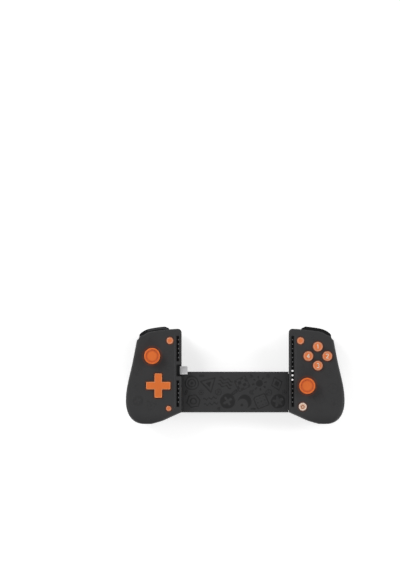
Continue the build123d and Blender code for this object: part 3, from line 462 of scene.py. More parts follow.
CHARCOAL = (52, 52, 53)
FINISHES = {
    # the shell's colour carries painted shade on the face plate's rim and lower end
    "shell": Finish("moulded_shell", CHARCOAL, roughness=0.56, texture=Texture.PALM),
    # the bridge's colour carries painted shade on its chamfered edges
    "bridge": Finish("moulded_bridge", CHARCOAL, roughness=0.56, texture=Texture.EDGED),
    "relief": Finish("raised_relief", (29, 29, 30), (34, 34, 35), roughness=0.5, mottle=0.03),
    "faint": Finish("faint_relief", (48, 48, 49), roughness=0.5, mottle=0.03),
    # edge_line also colours the painted reflection band on the left bumper
    "edge_line": Finish("edge_line", (66, 66, 68), roughness=0.45, mottle=0.03),
    "palm_line": Finish("palm_line", (104, 104, 106), roughness=0.4, mottle=0.03),
    # ribs of the black silicone pad in light grey: painted highlight, also lifted against the
    # slot's shade
    "rib": Finish("silicone_rib_painted_highlight", (118, 118, 120), roughness=0.6, mottle=0.05),
    "silicone": Finish("black_silicone", (16, 16, 17), (66, 66, 68), roughness=0.7,
                       grain_size=0.8),
    "membrane": Finish("grey_membrane", (150, 150, 152), roughness=0.7),
    "board": Finish("circuit_board", (24, 92, 52), roughness=0.4, coat=0.3),
    "stick_metal": Finish("pressed_steel", (170, 172, 175), roughness=0.35, metallic=1.0,
                          texture=Texture.BRUSHED),
    "white_plastic": Finish("natural_acetal", (222, 221, 214), roughness=0.4),
    "stick_rubber": Finish("stick_rubber", (240, 118, 44), (214, 96, 38), roughness=0.6,
                           grain_size=0.3),
    # second colour: painted highlight on the direction pad's rounded edges
    "orange_plastic": Finish("satin_orange", (238, 122, 52), (246, 164, 114), roughness=0.42,
                             grain_size=0.3, grain_height=0.006),
    # second colour: painted highlight on the buttons' raised rims
    "orange_gloss": Finish("button_orange", (240, 132, 74), (232, 154, 116), roughness=0.33,
                           coat=0.2, grain_height=0.004),
    "glyph": Finish("pale_glyph", (255, 236, 216), roughness=0.45, mottle=0.02),
    # second colour: painted highlight on the home button's raised rim
    "pale_plastic": Finish("pale_button", (248, 208, 182), (255, 230, 214), roughness=0.35,
                           coat=0.2, grain_height=0.004),
    "glyph_dark": Finish("dark_glyph", (186, 120, 88), roughness=0.45, mottle=0.03),
    # painted shadow round the holes' gaps: brown-orange next to the orange parts, a painted tinge
    # of their colour, darker grey-brown outwards
    "seat": Finish("button_gap_shadow", (100, 54, 38), (62, 51, 48), roughness=0.7),
    "black_plastic": Finish("satin_black", (20, 20, 21), roughness=0.36, grain_size=0.35,
                            grain_height=0.006),
    # near-white, mostly matt colour stands in for the bright reflection of the plated metal:
    # painted reflection
    "plug_steel": Finish("nickel_plate_painted_reflection", (236, 236, 237), roughness=0.4, metallic=0.2,
                         texture=Texture.BRUSHED, grain_height=0.003),
    "contact": Finish("gilt_contact", (212, 170, 90), roughness=0.25, metallic=1.0),
    "steel": Finish("plain_steel", (186, 187, 190), roughness=0.28, metallic=1.0,
                    texture=Texture.BRUSHED, grain_height=0.004),
    "rail_paint": Finish("painted_rail", (72, 72, 74), roughness=0.5),
    "ribbon": Finish("amber_ribbon", (160, 110, 46), roughness=0.35, coat=0.3),
    "light": Finish("light_window", (250, 250, 250), roughness=0.3, emission=0.25, mottle=0.0),
}


class Paints:
    """Materials of the finishes, each made once."""

    def __init__(self) -> None:
        """Start with none made."""
        self.made: dict[str, bpy.types.Material] = {}

    def __getitem__(self, name: str) -> bpy.types.Material:
        """Material of a finish.

        Args:
            name: the finish's key.

        Returns:
            The material, made if this is its first use.
        """
        if name not in self.made:
            self.made[name] = FINISHES[name].build()
        return self.made[name]


PAINTS = Paints()


@dataclass
class Patch:
    """Grid of points in millimetres, with a tone for each and the ways in which it closes."""

    points: Array
    tone: Union[Array, float] = 0.0
    close_rows: bool = False
    close_columns: bool = False
    keep: Optional[Array] = None

    def faces(self) -> Array:
        """Quads between neighbouring rows and columns.

        Returns:
            Corner numbers, four to a face, of the faces that are kept.
        """
        rows, columns = self.points.shape[:2]
        row = np.arange(rows if self.close_rows else rows - 1)
        column = np.arange(columns if self.close_columns else columns - 1)
        row, column = np.meshgrid(row, column, indexing="ij")
        below, right = (row + 1) % rows, (column + 1) % columns
        corners = [row * columns + column, row * columns + right, below * columns + right,
                   below * columns + column]
        quads = np.stack(corners, axis=-1)
        return quads[self.keep] if self.keep is not None else quads.reshape(-1, 4)


class Piece:
    """Patches gathered into one mesh that rides on a body."""

    def __init__(self, name: str, body: str, finish: str, slot: str,
                 replaces: Sequence[str] = (), span: Optional[tuple[float, float]] = None) -> None:
        """Name the piece and what it belongs to.

        Args:
            name: the piece's name.
            body: the body that it rides on.
            finish: its finish.
            slot: the record's material slot.
            replaces: CAD nodes that it stands for.
            span: for a piece that reaches from the left grip to the right one, the places along X
                where it starts and ends; such a piece stays where it is made, and the places are
                not used.
        """
        self.name, self.body, self.finish, self.slot = name, body, finish, slot
        self.replaces, self.span = replaces, span
        self.patches: list[Patch] = []

    def add(self, *patches: Patch) -> "Piece":
        """Take in patches."""
        self.patches.extend(patches)
        return self

    def make(self, turn: bool = True) -> None:
        """Make the mesh and dress it; a piece without a span rides on its body.

        Args:
            turn: whether the normals are worked out again, for a closed shape.
        """
        counts = [patch.points.shape[0] * patch.points.shape[1] for patch in self.patches]
        starts = np.cumsum([0] + counts[:-1])
        points = np.concatenate([patch.points.reshape(-1, 3) for patch in self.patches]) * MM
        tones = np.concatenate([
            np.broadcast_to(np.asarray(patch.tone, float), patch.points.shape[:2]).ravel()
            for patch in self.patches
        ])
        quads = np.concatenate([
            patch.faces() + start for patch, start in zip(self.patches, starts)
        ])
        mesh = bpy.data.meshes.new(self.name)
        mesh.from_pydata(points.tolist(), [], quads.tolist())
        attribute = mesh.attributes.new("tone", "FLOAT", "POINT")
        attribute.data.foreach_set("value", tones.astype(np.float32))
        build = bmesh.new()
        build.from_mesh(mesh)
        bmesh.ops.remove_doubles(build, verts=build.verts, dist=WELD * MM)
        loose = [vertex for vertex in build.verts if not vertex.link_faces]
        bmesh.ops.delete(build, geom=loose, context="VERTS")
        if turn:
            bmesh.ops.recalc_face_normals(build, faces=build.faces)
        build.to_mesh(mesh)
        build.free()
        mesh.shade_smooth()
        mesh.set_sharp_from_angle(angle=math.radians(SHARP_EDGE))
        made = bpy.data.objects.new(self.name, mesh)
        bpy.context.scene.collection.objects.link(made)
        made.data.materials.append(PAINTS[self.finish])
        if self.span is None:
            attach(made, self.body)
        else:
            start, end = [(place * MM, 0.0, 0.0) for place in self.span]
            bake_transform(made)
        if self.replaces:
            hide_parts(*self.replaces)
        LOG.info("%s: %d faces on %s", self.name, len(mesh.polygons), self.body)


def round_corners(corners: Sequence[tuple[float, float, float]], steps: int = 5) -> Array:
    """Profile with rounded corners.

    Each corner gives its place and radius. Points run round the arc that touches both
    runs: centre + radius * (cos a, sin a) between the two touching directions.

    Args:
        corners: (r, z, radius) in millimetres; a radius of 0 keeps the corner.
        steps: points on each arc.

    Returns:
        Profile points, one row each.
    """
    places = np.array([corner[:2] for corner in corners], float)
    radii = [corner[2] for corner in corners[1:-1]]
    out = [places[0]]
    for before, here, after, radius in zip(places, places[1:], places[2:], radii):
        if radius <= 0:
            out.append(here)
            continue
        back = (before - here) / np.linalg.norm(before - here)
        ahead = (after - here) / np.linalg.norm(after - here)
        half = math.acos(float(np.clip(back @ ahead, -1, 1))) / 2
        reach = radius / math.tan(half)
        share = np.linspace(0, 1, steps)[:, None]
        first, last = here + back * reach, here + ahead * reach
        middle = here + (back + ahead) / np.linalg.norm(back + ahead) * radius / math.sin(half)
        spread = (1 - share) * (first - middle) + share * (last - middle)
        spread *= radius / np.linalg.norm(spread, axis=1, keepdims=True)
        out.extend(middle + spread)
    out.append(places[-1])
    return np.array(out)


def lathe(profile: Array, centre: tuple[float, float], segments: int = 96,
          tone: Union[Array, float] = 0.0, ribs: int = 0, ribbed: Optional[Array] = None) -> Patch:
    """Surface of revolution about an upright axis.

    A point is (x + r cos a, y + r sin a, z), where r may swell by ribbed * cos(ribs a).

    Args:
        profile: (r, z) points in millimetres, from one end on the axis to the other.
        centre: the axis's place.
        segments: steps round the axis.
        tone: tone of each profile point.
        ribs: number of ribs round the edge.
        ribbed: height of the ribs at each profile point.

    Returns:
        The patch, closed round the axis.
    """
    angle = np.linspace(0, 2 * np.pi, segments, endpoint=False)[None, :]
    radius = profile[:, :1] * np.ones_like(angle)
    if ribbed is not None:
        radius = radius + ribbed[:, None] * np.cos(ribs * angle)
    x = centre[0] + radius * np.cos(angle)
    y = centre[1] + radius * np.sin(angle)
    z = profile[:, 1:] * np.ones_like(angle)
    shades = tone[:, None] * np.ones_like(angle) if isinstance(tone, np.ndarray) else tone
    return Patch(np.stack([x, y, z], axis=-1), shades, close_columns=True)


def run_along(path: Array, profile: Array, up: Array, closed: bool = False,
              tone: Union[Array, float] = 0.0) -> Patch:
    """Carry a profile along a path.

    At each path point the profile's first number goes sideways, along up x direction, and
    its second goes along up. An open path's ends are drawn to the profile's middle.

    Args:
        path: points in millimetres.
        profile: (sideways, up) points, in order round the profile.
        up: one direction for the whole path, or one for each point.
        closed: whether the path returns to its start.
        tone: tone of the patch.

    Returns:
        The patch, closed round the profile.
    """
    if closed:
        direction = np.roll(path, -1, axis=0) - np.roll(path, 1, axis=0)
    else:
        direction = np.gradient(path, axis=0)
    direction /= np.linalg.norm(direction, axis=1, keepdims=True)
    up = np.broadcast_to(np.asarray(up, float), path.shape)
    side = np.cross(up, direction)
    side /= np.linalg.norm(side, axis=1, keepdims=True)
    points = path[:, None] + profile[None, :, :1] * side[:, None]
    points = points + profile[None, :, 1:] * up[:, None]
    if not closed:
        middle = points.mean(axis=1, keepdims=True) * np.ones_like(points)
        points = np.concatenate([middle[:1], points, middle[-1:]])
    return Patch(points, tone, close_rows=closed, close_columns=True)


def round_box(low: Sequence[float], high: Sequence[float], radius: float, steps: int = 6) -> Patch:
    """Box with rounded edges.

    A unit sphere's point n goes to middle + sign(n) * (half - radius) + radius * n.

    Args:
        low: lowest corner.
        high: highest corner.
        radius: radius of the edges.
        steps: steps round a quarter of an edge.

    Returns:
        The closed patch.
    """
    low, high = np.array(low, float), np.array(high, float)
    across = np.concatenate([np.linspace(k, k + 1, steps) * np.pi / 2 for k in range(4)])
    down = np.concatenate([np.linspace(0, 1, steps), np.linspace(1, 2, steps)]) * np.pi / 2
    down, across = np.meshgrid(down, across, indexing="ij")
    ball = np.stack([
        np.sin(down) * np.cos(across), np.sin(down) * np.sin(across), np.cos(down),
    ], axis=-1)
    quarter = np.repeat(np.arange(4), steps)[None, :] * np.ones(down.shape)
    upper = (np.arange(2 * steps) < steps)[:, None] * np.ones(down.shape)
    sign = np.stack([
        np.where((quarter == 0) | (quarter == 3), 1.0, -1.0),
        np.where(quarter < 2, 1.0, -1.0),
        np.where(upper > 0, 1.0, -1.0),
    ], axis=-1)
    points = (low + high) / 2 + sign * ((high - low) / 2 - radius) + radius * ball
    ends = points[[0, -1]].copy()
    ends[:] = points[[0, -1]].mean(axis=1, keepdims=True)
    return Patch(np.concatenate([ends[:1], points, ends[1:]]), close_columns=True)


def at_level(line: Array, level: float) -> Array:
    """Flat line of (x, y) points lifted to a level."""
    return np.column_stack([line, np.full(len(line), level)])


def smoothed(points: Array, rounds: int) -> Array:
    """Line drawn smooth: each inner point takes half of itself and a quarter of each neighbour.

    Args:
        points: the line's points, one row each.
        rounds: how often it is done.

    Returns:
        The smoother line, with the same ends.
    """
    weights = np.array([0.25, 0.5, 0.25])
    for _ in range(rounds):
        inner = sum(points[k:len(points) - 2 + k] * weights[k] for k in range(3))
        points = np.concatenate([points[:1], inner, points[-1:]])
    return points


@dataclass(frozen=True)
class Lamp:
    """Square soft lamp: its name, its place and width in metres, and its power in watts."""

    name: str
    place: tuple[float, float, float]
    width: float
    power: float


@dataclass
class Studio:
    """Pale floor, soft lamps, and a camera that looks straight down on the front face."""

    floor_half: float = 4.0
    floor_shade: Shade = (236, 236, 236)
    floor_glow: float = 0.58
    camera_height: float = 12.0
    face_level: float = 0.035
    frame_height: float = 0.570
    sensor: float = 36.0
    clip_end: float = 50.0
    object_column: float = 235.24
    object_row: float = 374.9
    frame_size: tuple[int, int] = (400, 570)
    horizon: float = 1.0
    zenith: float = 0.22
    fade: tuple[float, float] = (0.05, 0.6)
    lamps: tuple[Lamp, ...] = (
        Lamp("key", (-1.3, 1.1, 1.25), 1.0, 17.0),
        Lamp("fill", (1.5, 0.5, 1.1), 1.0, 9.0),
        Lamp("front", (0.2, -1.6, 1.1), 1.0, 8.0),
    )

    def floor_material(self) -> bpy.types.Material:
        """Floor that glows white to the camera, keeps shadows, and is clear from below.

        Returns:
            The material.
        """
        material = bpy.data.materials.new("pale_floor")
        net = Net(material)
        seen = net.node("ShaderNodeLightPath", {}, {}, "Is Camera Ray")
        glossy = net.node("ShaderNodeLightPath", {}, {}, "Is Glossy Ray")
        through = net.node("ShaderNodeLightPath", {}, {}, "Is Transmission Ray")
        below = net.node("ShaderNodeNewGeometry", {}, {}, "Backfacing")
        matt = net.node("ShaderNodeBsdfDiffuse", {}, {"Color": linear(self.floor_shade)})
        glow = net.node("ShaderNodeEmission", {}, {"Color": WHITE, "Strength": self.floor_glow})
        clear = net.node("ShaderNodeBsdfTransparent", {}, {})
        both = net.node("ShaderNodeAddShader", {}, {0: matt, 1: glow})
        looked = seen + glossy + through
        pick = looked.maths("MINIMUM", looked, 1.0)
        floor = net.node("ShaderNodeMixShader", {}, {0: pick, 1: matt, 2: both})
        net.output(net.node("ShaderNodeMixShader", {}, {0: below, 1: floor, 2: clear}))
        return material

    def lay_floor(self) -> None:
        """Lay the floor under the controller."""
        half = self.floor_half
        corners = [(-half, -half, 0.0), (half, -half, 0.0), (half, half, 0.0), (-half, half, 0.0)]
        mesh = bpy.data.meshes.new("floor")
        mesh.from_pydata(corners, [], [(0, 1, 2, 3)])
        floor = bpy.data.objects.new("floor", mesh)
        floor.data.materials.append(self.floor_material())
        bpy.context.scene.collection.objects.link(floor)

    def fill_world(self) -> None:
        """White to the camera, and light that fades from the horizon to overhead.

        Its strength is the greater of the fade and 1 for a camera ray.
        """
        world = bpy.data.worlds.new("surround")
        bpy.context.scene.world = world
        net = Net(world)
        way = net.node("ShaderNodeTexCoord", {}, {}, "Generated")
        height = net.node("ShaderNodeSeparateXYZ", {}, {0: way}, "Z")
        low, high = self.fade
        inputs = {0: height, 1: low, 2: high, 3: self.horizon, 4: self.zenith}
        fade = net.node("ShaderNodeMapRange", {"interpolation_type": "SMOOTHSTEP"}, inputs)
        seen = net.node("ShaderNodeLightPath", {}, {}, "Is Camera Ray")
        strength = fade.maths("MAXIMUM", fade, seen)
        light = net.node("ShaderNodeBackground", {}, {"Color": WHITE, "Strength": strength})
        net.output(light, "ShaderNodeOutputWorld")

    def hang_lamps(self) -> None:
        """Soft lamps round the controller, none of them straight above."""
        for row in self.lamps:
            lamp = bpy.data.lights.new(row.name, "AREA")
            lamp.size = row.width
            lamp.energy = row.power
            holder = bpy.data.objects.new(row.name, lamp)
            holder.location = row.place
            holder.rotation_euler = (-Vector(row.place)).to_track_quat("-Z", "Y").to_euler()
            bpy.context.scene.collection.objects.link(holder)

    def set_camera(self) -> None:
        """Long lens above the frame's middle, at one pixel to the millimetre."""
        camera = bpy.data.cameras.new("camera")
        camera.sensor_fit = "AUTO"
        camera.sensor_width = self.sensor
        camera.lens = self.sensor * self.camera_height / self.frame_height
        camera.clip_end = self.clip_end
        holder = bpy.data.objects.new("camera", camera)
        width, height = self.frame_size
        holder.location = (
            (width / 2 - self.object_column) * MM,
            (self.object_row - height / 2) * MM,
            self.face_level + self.camera_height,
        )
        bpy.context.scene.collection.objects.link(holder)
        bpy.context.scene.camera = holder

    def build(self) -> None:
        """Set up the whole studio."""
        self.lay_floor()
        self.fill_world()
        self.hang_lamps()
        self.set_camera()
        bpy.context.scene.view_settings.view_transform = "Standard"


@dataclass
class CastParts:
    """CAD nodes that keep their shape and get their finish."""

    special: dict[str, str] = field(default_factory=lambda: {
        "sleeve_rear_cover": "bridge", "sleeve_front_plate": "bridge",
    })

    def build(self) -> None:
        """Dress every node from its slot in the record."""
        for part in frame["record"]["subparts"]:
            name = part["node"]
            finish = self.special.get(name, part["material_slot"])
            made = frame["nodes"][name]
            made.data.materials.clear()
            made.data.materials.append(PAINTS[finish])
            LOG.info("%s: %s", name, finish)


class Hand(Enum):
    """Side of the controller: the body's name and the sign of its X."""

    LEFT = ("left", -1)
    RIGHT = ("right", 1)

    @property
    def side(self) -> str:
        """Name of the side."""
        return self.value[0]

    @property
    def sign(self) -> int:
        """Sign of X on this side."""
        return self.value[1]

    @property
    def grip(self) -> str:
        """Body of the grip."""
        return f"{self.side}_grip"


@dataclass(frozen=True)
class Levels:
    """Levels above the surface that the controller lies on."""

    face: float = 35.0
    stick_pivot: float = 26.6
    plug: float = 27.5
    back: float = 9.5


LEVEL = Levels()


def slot_of(node: str) -> str:
    """Material slot of a node in the record."""
    parts = frame["record"]["subparts"]
    return next(part["material_slot"] for part in parts if part["node"] == node)


def two_sided(half: Sequence[tuple[float, float]]) -> Array:
    """Whole profile from the half at positive sideways places, foot first."""
    return np.array([*half, *[(-side, up) for side, up in reversed(half)]])


def stroke_profile(width: float, height: float, sink: float = 0.05) -> Array:
    """Profile of a low raised line with sloping sides.

    Args:
        width: width at its foot.
        height: height above the surface.
        sink: how far its foot is below the surface.

    Returns:
        (sideways, up) points in millimetres.
    """
    half = width / 2
    shoulder, shoulder_height, top = half * 0.92, height * 0.6, half * 0.66
    return two_sided([(half, -sink), (shoulder, shoulder_height), (top, height)])


def arc_points(centre: tuple[float, float], radius: float, start: float, end: float,
               count: int = 25) -> Array:
    """Points on an arc: centre + radius * (cos a, sin a), with angles in degrees."""
    angle = np.radians(np.linspace(start, end, count))
    return np.array(centre) + radius * np.stack([np.cos(angle), np.sin(angle)], axis=1)


def smooth_run(corners: Sequence[tuple[float, float]], count: int = 12) -> Array:
    """Points evenly spaced along straight runs between corners.

    Args:
        corners: the runs' ends.
        count: points on the whole line.

    Returns:
        (x, y) points.
    """
    places = np.array(corners, float)
    length = np.concatenate([[0], np.cumsum(np.linalg.norm(np.diff(places, axis=0), axis=1))])
    along = np.unique(np.concatenate([np.linspace(0, length[-1], count), length]))
    return np.stack([np.interp(along, length, places[:, axis]) for axis in (0, 1)], axis=1)


NUMERALS = {
    "1": (smooth_run([(-0.9, 1.3), (0.15, 2.1), (0.15, -2.1)]),),
    "2": (np.concatenate([
        arc_points((0.0, 0.95), 1.2, 165, -30), smooth_run([(-1.25, -2.0), (1.3, -2.0)], 6),
    ]),),
    "3": (np.concatenate([
        arc_points((0.0, 1.05), 1.05, 150, -75, 16), arc_points((0.0, -1.0), 1.15, 78, -150, 18),
    ]),),
    "4": (smooth_run([(0.6, -2.1), (0.6, 2.1), (-1.4, -0.8), (1.4, -0.8)], 20),),
}
HOUSE = (
    smooth_run([(-1.9, -0.1), (0.0, 1.75), (1.9, -0.1)]),
    smooth_run([(-1.25, 0.2), (-1.25, -1.6), (1.25, -1.6), (1.25, 0.2)], 14),
)


@dataclass(frozen=True)
class RoundButton:
    """Round button: its node, place on its own grip, radius, rise and glyph."""

    node: str
    hand: Hand
    x: float
    y: float
    radius: float
    rise: float
    finish: str = "orange_gloss"
    rim: float = 1.05
    rim_round: float = 0.55
    slope: float = 0.35
    dish_depth: float = 0.28
    dish_fall: float = 0.12
    edge_round: float = 0.15
    glyph: tuple[Array, ...] = ()
    glyph_finish: str = "glyph"
    glyph_foot: float = 0.40
    glyph_width: float = 0.78
    glyph_height: float = 0.30

    @property
    def centre(self) -> tuple[float, float]:
        """Place of its middle on the front."""
        return self.hand.sign * self.x, self.y

    def cap(self, foot: float, flange: float, flange_thick: float, stem: float) -> Patch:
        """Button with a raised rim, a dished middle, its flange and stem.

        Args:
            foot: level of the flange's top.
            flange: how far the flange stands out.
            flange_thick: thickness of the flange.
            stem: level of the stem's end.

        Returns:
            The closed patch.
        """
        top = LEVEL.face + self.rise
        dish = top - self.dish_depth
        edge, low = self.radius + flange, foot - flange_thick
        stem_radius, small = self.radius / 2, self.edge_round * 2 / 3
        inner = self.radius - self.rim
        profile = round_corners([
            (0.0, stem, 0.0), (stem_radius, stem, 2 * small), (stem_radius, low, 0.0),
            (edge, low, small), (edge, foot, small), (self.radius, foot, 0.0),
            (self.radius, top, self.rim_round), (inner, top, self.edge_round),
            (inner - self.slope, dish, self.edge_round), (0.0, dish - self.dish_fall, 0.0),
        ])
        # painted highlight: the raised rim is paler
        on_rim = profile[:, 0] > inner - small
        tone = (on_rim & (profile[:, 1] > LEVEL.face)).astype(float)
        return lathe(profile, self.centre, tone=tone)

    def marks(self) -> list[Patch]:
        """Raised glyph on the button's dish.

        Returns:
            One patch for each stroke.
        """
        base = LEVEL.face + self.rise - self.glyph_foot
        profile = stroke_profile(self.glyph_width, self.glyph_height)
        return [
            run_along(at_level(line + np.array(self.centre), base), profile, UP)
            for line in self.glyph
        ]


@dataclass(frozen=True)
class Seat:
    """Section of a painted shadow round a hole in the face plate, where the gap is.

    It starts down in the hole, turns over the hole's lip and lies a little above the face.
    """

    inner: float
    width: float
    depth: float = 1.2
    shoulder: float = 0.25
    lean: float = 0.02
    lip: float = 0.18
    proud: float = 0.03
    tuck: float = 0.05
    segments: int = 128

    def rows(self) -> Array:
        """Rows of the border, from the hole outwards.

        Returns:
            How far out each row is, and its level.
        """
        end, face = self.inner + self.width, LEVEL.face
        return np.array([
            (self.inner, face - self.depth), (self.inner + self.lean, face - self.shoulder),
            (self.inner + self.lip, face + self.lean), (end - self.width / 2, face + self.proud),
            (end, face + self.proud), (end + self.tuck, face - self.tuck),
        ])

    def ring(self, centre: tuple[float, float]) -> Patch:
        """Painted shadow round a round hole, darker towards its outer edge.

        Args:
            centre: (x, y) of the hole.

        Returns:
            The patch.
        """
        rows = self.rows()[::-1]
        tone = np.clip((rows[:, 0] - self.inner) / self.width, 0, 1)
        return lathe(rows, centre, self.segments, tone)


@dataclass
class Buttons:
    """The eight round buttons and the painted shadows round their holes."""

    foot: float = 32.9
    flange: float = 0.9
    flange_thick: float = 1.0
    stem: float = 29.0
    seat_inner: float = 0.37
    seat_width: float = 1.1
    rows: tuple[RoundButton, ...] = (
        RoundButton("left_menu_button", Hand.LEFT, 65.4, 34.2, 3.35, 1.0, rim=1.05),
        RoundButton("left_capture_button", Hand.LEFT, 66.6, -33.6, 2.55, 1.0, rim=0.75),
        RoundButton("right_menu_button", Hand.RIGHT, 65.3, 34.2, 3.45, 1.0, rim=1.05),
        RoundButton("home_button", Hand.RIGHT, 67.5, -31.8, 3.95, 1.0, finish="pale_plastic",
                    rim=0.8, glyph=HOUSE, glyph_finish="glyph_dark"),
        RoundButton("face_button_top", Hand.RIGHT, 82.6, 28.3, 4.8, 2.1, glyph=NUMERALS["1"]),
        RoundButton("face_button_left", Hand.RIGHT, 73.1, 18.8, 4.8, 2.1, glyph=NUMERALS["4"]),
        RoundButton("face_button_right", Hand.RIGHT, 92.1, 18.8, 4.8, 2.1, glyph=NUMERALS["2"]),
        RoundButton("face_button_bottom", Hand.RIGHT, 82.6, 9.3, 4.8, 2.1, glyph=NUMERALS["3"]),
    )

    def seat(self, button: RoundButton) -> Patch:
        """Painted shadow round a button's hole."""
        return Seat(button.radius + self.seat_inner, self.seat_width).ring(button.centre)

    def build(self) -> None:
        """Make each button, its glyph and the painted shadow round its hole."""
        for button in self.rows:
            node = button.node
            cap = Piece(f"{node}_cap", node, button.finish, slot_of(node), [node])
            cap.add(button.cap(self.foot, self.flange, self.flange_thick, self.stem)).make()
            if button.glyph:
                glyph = Piece(f"{node}_glyph", node, button.glyph_finish, slot_of(node))
                glyph.add(*button.marks()).make()
        for hand in Hand:
            # painted shadows round the holes
            gap_shadows = Piece(f"{hand.side}_button_gap_shadows", hand.grip, "seat", "shell")
            gap_shadows.add(*[self.seat(button) for button in self.rows if button.hand is hand])
            gap_shadows.make(turn=False)


@dataclass
class ThumbStick:
    """Rubber cap of a thumb stick, with a knurled edge, a dish, its neck and its dome."""

    hand: Hand
    x: float
    y: float
    dome: float = 11.4
    dome_inner: float = 10.6
    dome_reach: float = 62.0
    neck: float = 4.2
    neck_flare: float = 0.25
    neck_lift: float = 0.35
    neck_gap: float = 0.6
    neck_waist: float = 0.5
    neck_round: float = 0.3
    cap: float = 8.0
    cap_low: float = 13.0
    cap_high: float = 16.4
    cap_taper: tuple[float, float] = (0.1, 0.35)
    cap_shoulder: float = 0.9
    small_round: float = 0.4
    large_round: float = 0.8
    dish: float = 6.1
    dish_depth: float = 0.9
    dish_slope: float = 0.35
    dish_round: float = 0.5
    dish_flat: float = 2.2
    dish_rise: tuple[float, float] = (0.1, 0.28)
    ring_middle: float = 0.1
    ring_half: float = 0.55
    ring_depth: float = 1.2
    ribs: int = 60
    rib_height: float = 0.13
    rib_fade: float = 1.1
    rib_zone: float = 0.3
    segments: int = 300
    dome_steps: tuple[int, int] = (14, 16)
    arc_steps: int = 6
    seat: Seat = Seat(8.6, 2.0)

    def profile(self) -> Array:
        """Half section from the middle of the dome's inside to the middle of the dish.

        The dome is dome * (sin a, cos a) about the pivot, and the cap above it has a
        waisted neck, a rounded rim and a shallow dish.

        Returns:
            (r, z) points above the pivot.
        """
        reach = math.radians(self.dome_reach)
        inner = np.linspace(0.0, reach, self.dome_steps[0])[:, None]
        end = math.asin((self.neck + self.neck_gap) / self.dome)
        outer = np.linspace(reach, end, self.dome_steps[1])[:, None]
        neck_foot = math.sqrt(self.dome**2 - self.neck**2) + self.neck_lift
        floor, high, low = self.cap_high - self.dish_depth, self.cap_high, self.cap_low
        cap = round_corners([
            (self.neck + self.neck_flare, neck_foot, 0.0),
            (self.neck, low - self.neck_waist, self.neck_round), (self.neck, low, self.small_round),
            (self.cap - self.cap_taper[0], low, self.large_round),
            (self.cap, high - self.cap_shoulder, self.small_round),
            (self.cap - self.cap_taper[1], high, self.large_round),
            (self.dish + self.dish_slope, high, self.dish_round),
            (self.dish, floor, self.dish_round),
            (self.dish - self.dish_flat, floor + self.dish_rise[0], self.large_round),
            (0.0, floor + self.dish_rise[1], 0.0),
        ], self.arc_steps)
        domes = [radius * np.hstack([np.sin(angle), np.cos(angle)])
                 for radius, angle in ((self.dome_inner, inner), (self.dome, outer))]
        return np.concatenate(domes + [cap])

    def build(self) -> None:
        """Make the cap, whose edge swells in ribs, and the painted shadow round its hole."""
        profile = self.profile()
        away, level = profile[:, 0], profile[:, 1]
        middle = (self.cap_low + self.cap_high) / 2
        side = np.exp(-(((level - middle) / self.rib_fade) ** 2))
        side *= away > self.cap - self.rib_zone
        ring = np.abs(away - self.dish - self.ring_middle) < self.ring_half
        tone = (ring & (level > self.cap_high - self.ring_depth)).astype(float)
        node = f"{self.hand.side}_stick_cap"
        centre = (self.hand.sign * self.x, self.y)
        profile = profile + np.array([0.0, LEVEL.stick_pivot])
        patch = lathe(profile, centre, self.segments, tone, self.ribs, self.rib_height * side)
        Piece(f"{node}_rubber", node, "stick_rubber", slot_of(node), [node]).add(patch).make()
        # painted shadow round the stick's hole
        seat = Piece(f"{self.hand.side}_stick_gap_shadow", self.hand.grip, "seat", "shell")
        seat.add(self.seat.ring(centre)).make(turn=False)


def circle(x: Array, y: Array, radius: float) -> Array:
    """Signed distance to a circle about the middle."""
    return np.hypot(x, y) - radius


def band(distance: Array, width: float) -> Array:
    """Signed distance to a line of a width along an outline."""
    return np.abs(distance) - width / 2


def slab(x: Array, y: Array, half_x: float, half_y: float, corner: float = 0.1) -> Array:
    """Signed distance to a rounded rectangle.

    Args:
        x: places across.
        y: places along.
        half_x: half its width.
        half_y: half its height.
        corner: radius of its corners.

    Returns:
        Distance, negative inside.
    """
    out_x, out_y = np.abs(x) - half_x + corner, np.abs(y) - half_y + corner
    outside = np.hypot(np.maximum(out_x, 0), np.maximum(out_y, 0))
    return outside + np.minimum(np.maximum(out_x, out_y), 0) - corner


